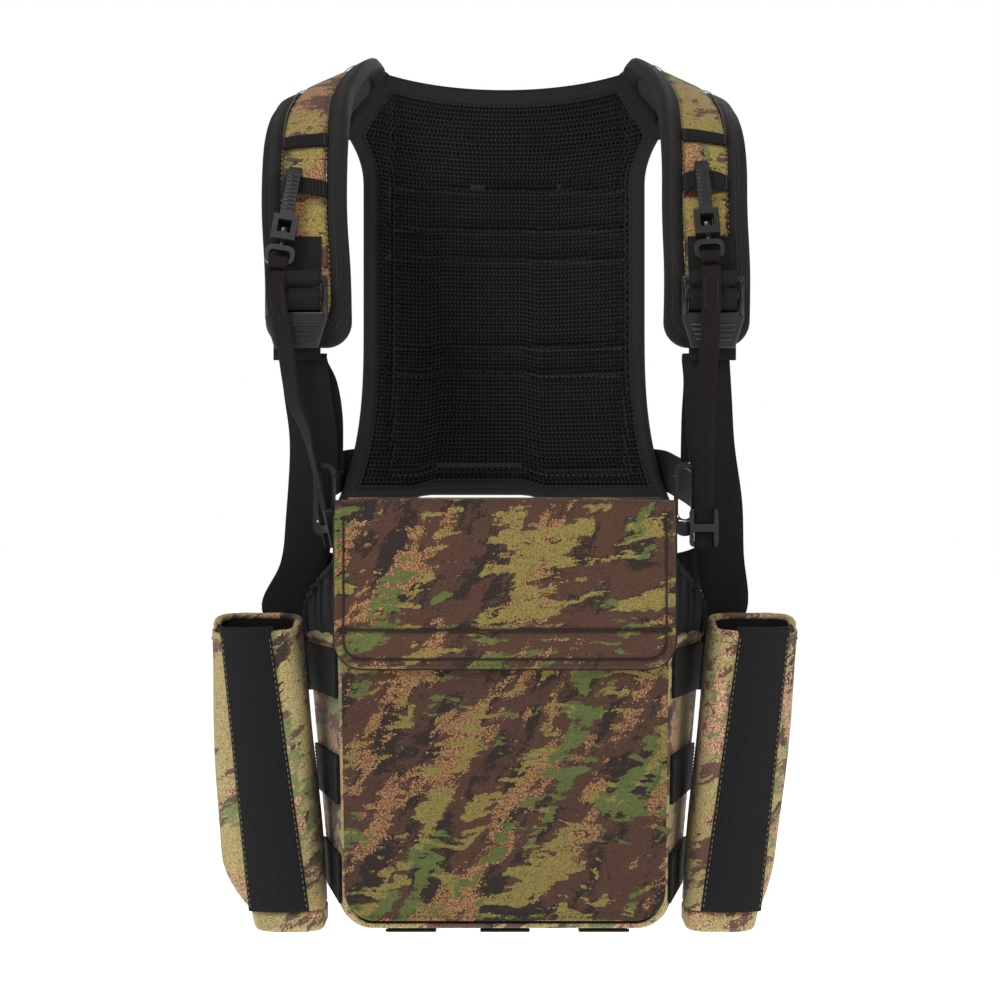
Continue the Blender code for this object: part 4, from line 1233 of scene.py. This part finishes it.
front = sheet("front_panel_cloth", *WHOLE, (64, 90), front_place, CAMO, (0.0, PANEL_THICK), bevel=0.9)
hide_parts("pouch_front")
edge = [front_place(u / 30, 0.022, 0.0) for u in range(-30, 31)]
side_edge = [front_place(0.955, share / 60, 0.0) for share in range(5, 40)]
fine_seam("front_seam_foot", [p + Vector((0, -0.2, 1.6)) for p in edge])
for side, sign in SIDES.items():
    fine_seam("front_seam_" + side, [Vector((sign * p.x, p.y - 0.2, p.z)) for p in side_edge])


# %% Rear panel
def rear_place(u, share, height):
    level, draw = rounded_level(share, -447.0, -234.0, 19.0, (True, False))
    half = pouch_half(max(level, -440.0), 1.0) - 0.5
    if level >= HEM_Z:
        half = span((pouch_half(HEM_Z, 1.0) - 0.5, 87.0), limited((level - HEM_Z) / 42.0))
    if level > -257:
        half = 84.5 + 2.5 * max(0.0, (-250.0 - level) / 7.0)
    return Vector((u * (half - draw), REAR_Y - height, level))


rear = sheet("rear_panel_cloth", *WHOLE, (40, 70), rear_place, LINING, (0.0, PANEL_THICK), bevel=0.7)
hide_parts("pouch_rear")


# %% Webbing rows and foot loops
POUCH_DEEP = 76.0


def crossing(name, depths, middle, place):
    """A length of ribbed webbing that runs from the front of the pouch to its rear."""
    across = (middle - WEB_WIDTH / 2, middle + WEB_WIDTH / 2)
    band = sheet(name, depths, across, (16, 8), place, BAND, (0.3, 1.9))
    stretch_uv(band, POUCH_DEEP)
    return band


def side_row(side, number, middle):
    sign = SIDES[side]

    def place(depth, level, outward):
        x = sign * (pouch_half(level, depth) + outward)
        return Vector((x, depth_to_y(depth), level))

    row = crossing(f"webbing_row_{number}_{side}", (0.06, 0.97), middle, place)
    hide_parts(f"gusset_band_{number}_{side}")
    for depth in (0.085, 0.945):
        tack = [place(depth, middle + step, 2.0) for step in range(-11, 12, 2)]
        where = "front" if depth < 0.5 else "rear"
        seam(f"row_tack_{number}_{side}_{where}", tack, DARK_THREAD, 1.8, 1.4)


def foot_loop(number, middle):
    def place(depth, x, outward):
        return Vector((x, depth_to_y(depth), foot_level(depth) - outward))

    loop = crossing(f"foot_loop_{number}", (0.04, 0.96), middle, place)
    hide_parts(f"bottom_loop_{number}")


for side in SIDES:
    for number, middle in enumerate((-316.5, -369.8, -419.5), 1):
        side_row(side, number, middle)
for number, middle in enumerate((-47.5, 0.0, 50.0), 1):
    foot_loop(number, middle)
print("webbing rows and loops")

# %% [markdown]
# ## Ears
# Above the gusset's hem, soft lining closes the sides of the mouth under the lid. A band of elastic gathers its edge,
# so it stands up at the front in small ruffles and folds down towards the rear.


# %% Ears and rolled hems
def ear_top(depth):
    return span((LINING_TOP_Z, -284.0), depth**1.3)


def ear_point(side, depth, share, out):
    """A point of the ear: share 0 at the hem and 1 at its gathered edge."""
    level = span((-303.0, ear_top(depth)), share)
    ruffle = (0.9 * math.sin(depth * 46) + 0.5 * math.sin(depth * 81 + 1)) * share**2
    base = span((81.0, 104.0), depth)
    lean = 2.5 * share * depth + 1.5 * math.sin(math.pi * share)
    x = SIDES[side] * (base + lean + ruffle + out)
    return Vector((x, depth_to_y(depth) + 1.5 * share * math.sin(depth * 30), level))


def ear(side):
    def place(depth, share, out):
        return ear_point(side, depth, share, out)

    cloth = sheet("ear_" + side, (0.03, 0.94), (0, 1), (70, 16), place, LINING, (-1.6, -0.4), bevel=0.3)
    edge = [ear_point(side, span((0.03, 0.94), step / 60), 1.0, -1.0) for step in range(61)]
    tube("ear_elastic_" + side, edge, 2.1, ELASTIC, squeeze=lambda share: 1 + 0.16 * math.sin(share * 95))
    fold = [ear_point(side, 0.94, span((1.0, 0.12), step / 16), -1.0) for step in range(17)]
    tube("ear_fold_" + side, fold, 2.4, ELASTIC)


def hem(side):
    sign = SIDES[side]
    points = []
    for step in range(33):
        depth = step / 32
        x = sign * (pouch_half(HEM_Z, depth) - 0.6)
        points.append(Vector((x, depth_to_y(depth), -299.6 + 0.5 * math.sin(step * 0.6))))
    tube("gusset_hem_" + side, points, 2.3, CAMO_SIDE_LIT, squeeze=lambda share: 1 + 0.06 * math.sin(share * 21))


for side in SIDES:
    ear(side)
    hem(side)
print("ears and hems")

# %% [markdown]
# ## Lid and flap
# The lid is one stiff cloth from the hinge across the mouth and down over the front, where a magnet holds it. It
# bends where the two parts meet; this cloth is built in place and attached to no body. A line of stitching runs
# inside its edge.

# %% Lid cloth
FOLD_ROUND = 5.0
LID_FRONT_Y, LID_REAR_Y = -188.0, -105.5
LID_HALF = 85.0
LID_TOP_Z = -229.0
FLAP_LOW_Z = -313.0
FLAP_CORNER = 14.0
LID_STRAIGHT = LID_REAR_Y - FOLD_ROUND - LID_FRONT_Y
LID_ARC = FOLD_ROUND * math.pi / 2
LID_LENGTH = LID_STRAIGHT + LID_ARC + (LID_TOP_Z - FOLD_ROUND - FLAP_LOW_Z)


def lid_profile(along):
    """Y, Z and the turn of the lid's outer face at a distance from the hinge."""
    if along < LID_STRAIGHT:
        return LID_REAR_Y - along, LID_TOP_Z, 0.0
    if along < LID_STRAIGHT + LID_ARC:
        turn = (along - LID_STRAIGHT) / FOLD_ROUND
        y = LID_REAR_Y - LID_STRAIGHT - FOLD_ROUND * math.sin(turn)
        return y, LID_TOP_Z - FOLD_ROUND * (1 - math.cos(turn)), turn
    return LID_FRONT_Y, LID_TOP_Z - FOLD_ROUND - (along - LID_STRAIGHT - LID_ARC), math.pi / 2


def lid_place(u, share, height):
    """share runs from the flap's foot, 0, up and over to the hinge, 1; height is inwards from the outer face."""
    part = 0.10
    if share < part:
        turn = share / part * math.pi / 2
        back = FLAP_CORNER * (1 - math.cos(turn))
        draw = FLAP_CORNER * (1 - math.sin(turn))
    else:
        back = span((FLAP_CORNER, LID_LENGTH), (share - part) / (1 - part))
        draw = 0.0
    y, z, turn = lid_profile(LID_LENGTH - back)
    x = u * (LID_HALF - draw)
    crown = 0.0
    if height < 1:
        front = limited((z - FLAP_LOW_Z) / 80)
        crown = 1.6 * (1 - abs(u) ** 4) * (math.sin(math.pi * front) ** 0.7 if turn > 1.5 else 0.4)
        if turn > 1.5:
            crown -= 1.2 * groove(z, -294.0, 1.3) + 0.4 * groove(z, -253.0, 2.5)
        crown -= 0.9 * groove(edge_distance(x, back, LID_HALF, 0.0, FLAP_CORNER), 4.4, 0.9)
    depth = height - crown
    return Vector((x, y + depth * math.sin(turn), z - depth * math.cos(turn)))


lid = sheet("lid_cloth", *WHOLE, (70, 130), lid_place, CAMO_LID, (0.0, 2.6), body=None, bevel=0.9)
bake(lid)
lid.data.shade_smooth()
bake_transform(lid)
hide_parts("lid_top", "lid_flap")
print("lid cloth", round(LID_LENGTH), "mm long")


# %% Hinge tape
HINGE_PATH = [(-103.4, -256.0), (-103.4, -246.0), (-103.4, -238.0), (-103.5, -231.5), (-104.6, -228.9)]
HINGE_PATH += [(-107.5, -228.3), (-112.5, -228.3), (-118.0, -228.6)]


def hinge_place(x, share, height):
    points = [Vector((0, *point)) for point in HINGE_PATH]
    along = share * (len(points) - 1)
    here = blend_points(points, along)
    after = blend_points(points, min(along + 0.05, len(points) - 1.001))
    before = blend_points(points, max(along - 0.05, 0.0))
    ahead = (after - before).normalized()
    return Vector((x, here.y + ahead.z * height, here.z - ahead.y * height))


hinge_tape = sheet("hinge_tape", (-83.0, 83.0), (0, 1), (60, 28), hinge_place, CAMO_LID, (-0.6, 0.6), body=None)
bake(hinge_tape)
hinge_tape.data.shade_smooth()
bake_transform(hinge_tape)

# %% Lid stitching
def lid_line(u_ends, share_ends, count):
    points = []
    for step in range(count + 1):
        part = step / count
        points.append(lid_place(span(u_ends, part), span(share_ends, part), 0.0) + Vector((0, -0.2, 0)))
    return points


def flap_outline(inside):
    """Places on the flap at a distance inside its edge, from the top left round the foot to the top right."""
    half, radius = LID_HALF - inside, FLAP_CORNER - inside
    places = [(-half, span((76.0, FLAP_CORNER), step / 14)) for step in range(14)]
    for step in range(13):
        turn = math.radians(180 + 7.5 * step)
        places.append((-half + radius + radius * math.cos(turn), inside + radius + radius * math.sin(turn)))
    return places + [(-x, back) for x, back in places[::-1]]


def flap_face(x, level_up, lift):
    """A point on the flap's face, by its distance across and up from the foot."""
    crown = 1.6 * (1 - abs(x / LID_HALF) ** 4) * math.sin(math.pi * limited(level_up / 80)) ** 0.7
    return Vector((x, LID_FRONT_Y - crown - lift, FLAP_LOW_Z + level_up))


def flap_edge(inside, lift):
    return [flap_face(x, up, lift) for x, up in flap_outline(inside)]


# Painted shade: thin dark tubes lie in the flap's groove 4.4 mm inside its edge and in its cross seam groove, and one
# more just behind its edge is a painted shadow in the gap.
GROOVE_SHADE = Finish("painted_groove_shade", 0.9).done(linear(30, 24, 20))
across = [flap_face(span((-84.0, 84.0), step / 40), 19.0, 0.05) for step in range(41)]
tube("flap_edge_groove_shade", flap_edge(4.4, -0.15), 0.5, GROOVE_SHADE, 8, "flap")
tube("flap_cross_groove_shade", across, 0.55, GROOVE_SHADE, 8, "flap")
tube("flap_rim_cord", flap_edge(0.9, -0.5), 1.15, CAMO_LID, 10, "flap")
tube("flap_under_edge_shadow", flap_edge(-0.5, -3.0), 0.7, GROOVE_SHADE, 8, "flap")
fine_seam("flap_seam_foot", lid_line((-0.93, 0.93), (0.028, 0.028), 60), "flap")
fine_seam("flap_seam_foot_upper", lid_line((-0.95, 0.95), (0.052, 0.052), 60), "flap")
for side, sign in SIDES.items():
    fine_seam("flap_seam_" + side, lid_line((sign * 0.953, sign * 0.953), (0.06, 0.46), 50), "flap")

# %% [markdown]
# ## Side pouches
# A tall sleeve of printed cloth hangs on each side. Its open rim is rolled, its front is a panel of ribbed elastic,
# and a cap of the same cloth closes its foot.

# %% Side pouch outlines
SIDE_TOP_Z, SIDE_BASE_Z, SIDE_FLOOR_Z = -293.5, -437.0, -448.0
SIDE_Y, SIDE_DEEP, SIDE_CORNER = -145.0, 27.0, 13.0
CORNER_STEPS, FLAT_CUTS = 8, 5


def side_share(level):
    return (SIDE_TOP_Z - level) / (SIDE_TOP_Z - SIDE_FLOOR_Z)


def side_middle(level):
    return 128.0 - 18.4 * side_share(level)


def side_half(level):
    return 22.0 - 3.5 * side_share(level)


def side_ring(level, inset):
    """The pouch's section at a level, as offsets from its middle."""
    half, deep, radius = side_half(level) - inset, SIDE_DEEP - inset, SIDE_CORNER - inset
    corners = []
    for x, y, start in ((half, -deep, -90), (half, deep, 0), (-half, deep, 90), (-half, -deep, 180)):
        centre = (x - math.copysign(radius, x), y - math.copysign(radius, y))
        for step in range(CORNER_STEPS + 1):
            turn = math.radians(start + 90 * step / CORNER_STEPS)
            corners.append((centre[0] + radius * math.cos(turn), centre[1] + radius * math.sin(turn)))
    ring = []
    for number, (here, after) in enumerate(zip(corners, corners[1:] + corners[:1])):
        ring.append(here)
        if number % (CORNER_STEPS + 1) == CORNER_STEPS:
            for cut in range(1, FLAT_CUTS):
                part = cut / FLAT_CUTS
                ring.append((span((here[0], after[0]), part), span((here[1], after[1]), part)))
    return ring


RING = len(side_ring(0, 0))
BULGE = {"left": 11.5, "right": 4.5}
BELLY = 0.22


def belly(side, share):
    """How far the outer wall swells out: most a little above the foot, nothing at the rim and at the foot."""
    tuck = 1 - (1 - min(share / BELLY, 1.0)) ** 2.2
    return BULGE[side] * min(1.0, 1.2 * (1 - share)) * tuck if share < 1 else 0.0


def wall_point(side, step, share, inset):
    """A point of the sleeve's wall; the rim rises towards the wearer."""
    x, y = side_ring(SIDE_TOP_Z, inset)[step % RING]
    level = SIDE_BASE_Z + share * (SIDE_TOP_Z + 3.5 * y / SIDE_DEEP - SIDE_BASE_Z)
    x, y = side_ring(level, inset)[step % RING]
    x += belly(side, share) * max(0.0, x / side_half(level))
    puff = 0.9 * math.sin(math.pi * share) if inset < 1 else 0.0
    wave = 0.5 * math.sin(share * 9 + step * 0.35) * (inset < 1)
    out = Vector((x, y, 0)).normalized() * (puff + wave)
    return Vector((SIDES[side] * (side_middle(level) + x + out.x), SIDE_Y + y + out.y, level))


# %% Sleeve, lining, rim and elastic
def closed_wall(name, side, heights, finish):
    """The sleeve's wall: a grid bent once round, its two ends joined."""
    shape = bmesh.new()
    bmesh.ops.create_grid(shape, x_segments=RING, y_segments=30, size=0.5)
    for vert in shape.verts:
        vert.co = ((vert.co.x + 0.5) * RING, vert.co.y + 0.5, heights[0])
    thicken(shape, heights[1])
    ends = [f for f in shape.faces if abs(f.normal.x) > 0.9]
    bmesh.ops.delete(shape, geom=ends, context="FACES")
    bend(shape, lambda step, share, inset: wall_point(side, round(step), share, inset))
    bmesh.ops.remove_doubles(shape, verts=shape.verts, dist=0.002)
    bmesh.ops.recalc_face_normals(shape, faces=shape.faces)
    return keep(name, shape, finish, "root", 0.5)


def elastic_point(side, u, level, outward):
    share = side_share(level)
    outer = side_half(level) - 6.0 * (1 - share)
    inner = -side_half(level) + 12.6 - 6.6 * share
    x = span((inner, outer), (u + 1) / 2)
    bulge = 4.0 * (1 - u * u)
    return Vector((SIDES[side] * (side_middle(level) + x), -172.3 - bulge - outward, level))


ELASTIC_HALF = 17.0


def side_pouch(side):
    sleeve = closed_wall("sleeve_cloth_" + side, side, (0.0, 1.7), CAMO_SIDE_LIT)
    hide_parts("side_sleeve_" + side)
    closed_wall("sleeve_lining_" + side, side, (1.8, 2.5), LINING)
    rim = [wall_point(side, step, 1.0, 1.2) for step in (*range(11, RING), *range(4))]
    tube("rim_roll_" + side, rim, 1.9, CAMO_SIDE_LIT, squeeze=lambda share: 1 + 0.05 * math.sin(share * 60))
    lip = [elastic_point(side, span((-1.0, 1.0), k / 20), -294.6, 0.4 - 3.2 * (k % 20 == 0)) for k in range(21)]
    tube("elastic_lip_" + side, lip, 1.7, ELASTIC)
    rim_row = [wall_point(side, step, 0.972, -0.2) for step in range(RING)]
    seam("rim_seam_" + side, rim_row + rim_row[:1], THREAD, 3.0, 2.1, 0.36)

    def place(u, level, outward):
        return elastic_point(side, u, level, outward)

    ends = (-1, 1), (-436.5, -294.5)
    elastic = sheet("elastic_front_" + side, *ends, (40, 50), place, ELASTIC, (0.0, 1.5))
    stretch_uv(elastic, ELASTIC_HALF)
    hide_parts("side_elastic_" + side)
    for name, u in (("inner", -0.93), ("outer", 0.93)):
        row = [elastic_point(side, u, span((-435.0, -299.0), k / 20), 1.6) for k in range(21)]
        seam(f"elastic_seam_{name}_{side}", row, THREAD, 3.0, 2.1, 0.34)
    soften("side_base_" + side, "base_cap_" + side, CAMO_SIDE_LIT, 2.2)


for side in SIDES:
    side_pouch(side)
print("side pouches", RING, "steps round")

# %% [markdown]
# ## Floor and material slot table
# The floor is a wide pale plane well below the pack, glowing a little so that all around stays white. The slot
# loop leaves it out by name.

# %% Floor
ground = bmesh.new()
bmesh.ops.create_grid(ground, x_segments=4, y_segments=4, size=60000.0)
bmesh.ops.translate(ground, verts=ground.verts, vec=(0, 0, -600.0))
PALE = Finish("pale_floor", 0.9).done((0.9, 0.9, 0.9), Emission_Color=(1, 1, 1, 1), Emission_Strength=0.7)
floor = keep("floor", ground, PALE, None)

# %% Material slots
SLOTS = {
    "camo_fabric": (CAMO, CAMO_LID, CAMO_SIDE_LIT, CAMO_STRAP),
    "webbing": (WEBBING, BAND, THREAD, DARK_THREAD, GROOVE_SHADE),
    "binding": (TAPE,),
    "spacer_mesh": (MESH, MESH_HOLE_SHADE, LINING),
    "elastic": (ELASTIC,),
    "tether_webbing": (TETHER,),
    "moulded_plastic": (PLASTIC, GLOSS_PLASTIC, STEEL),
}
for slot, finishes in SLOTS.items():
    for piece in scene.objects:
        made_here = piece.type == "MESH" and "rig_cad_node" not in piece and piece.name != "floor"
        made_here and piece.data.materials and piece.data.materials[0] in finishes
for node in ("flap_magnet", "front_magnet"):
    refinish(bpy.data.objects[node], STEEL)
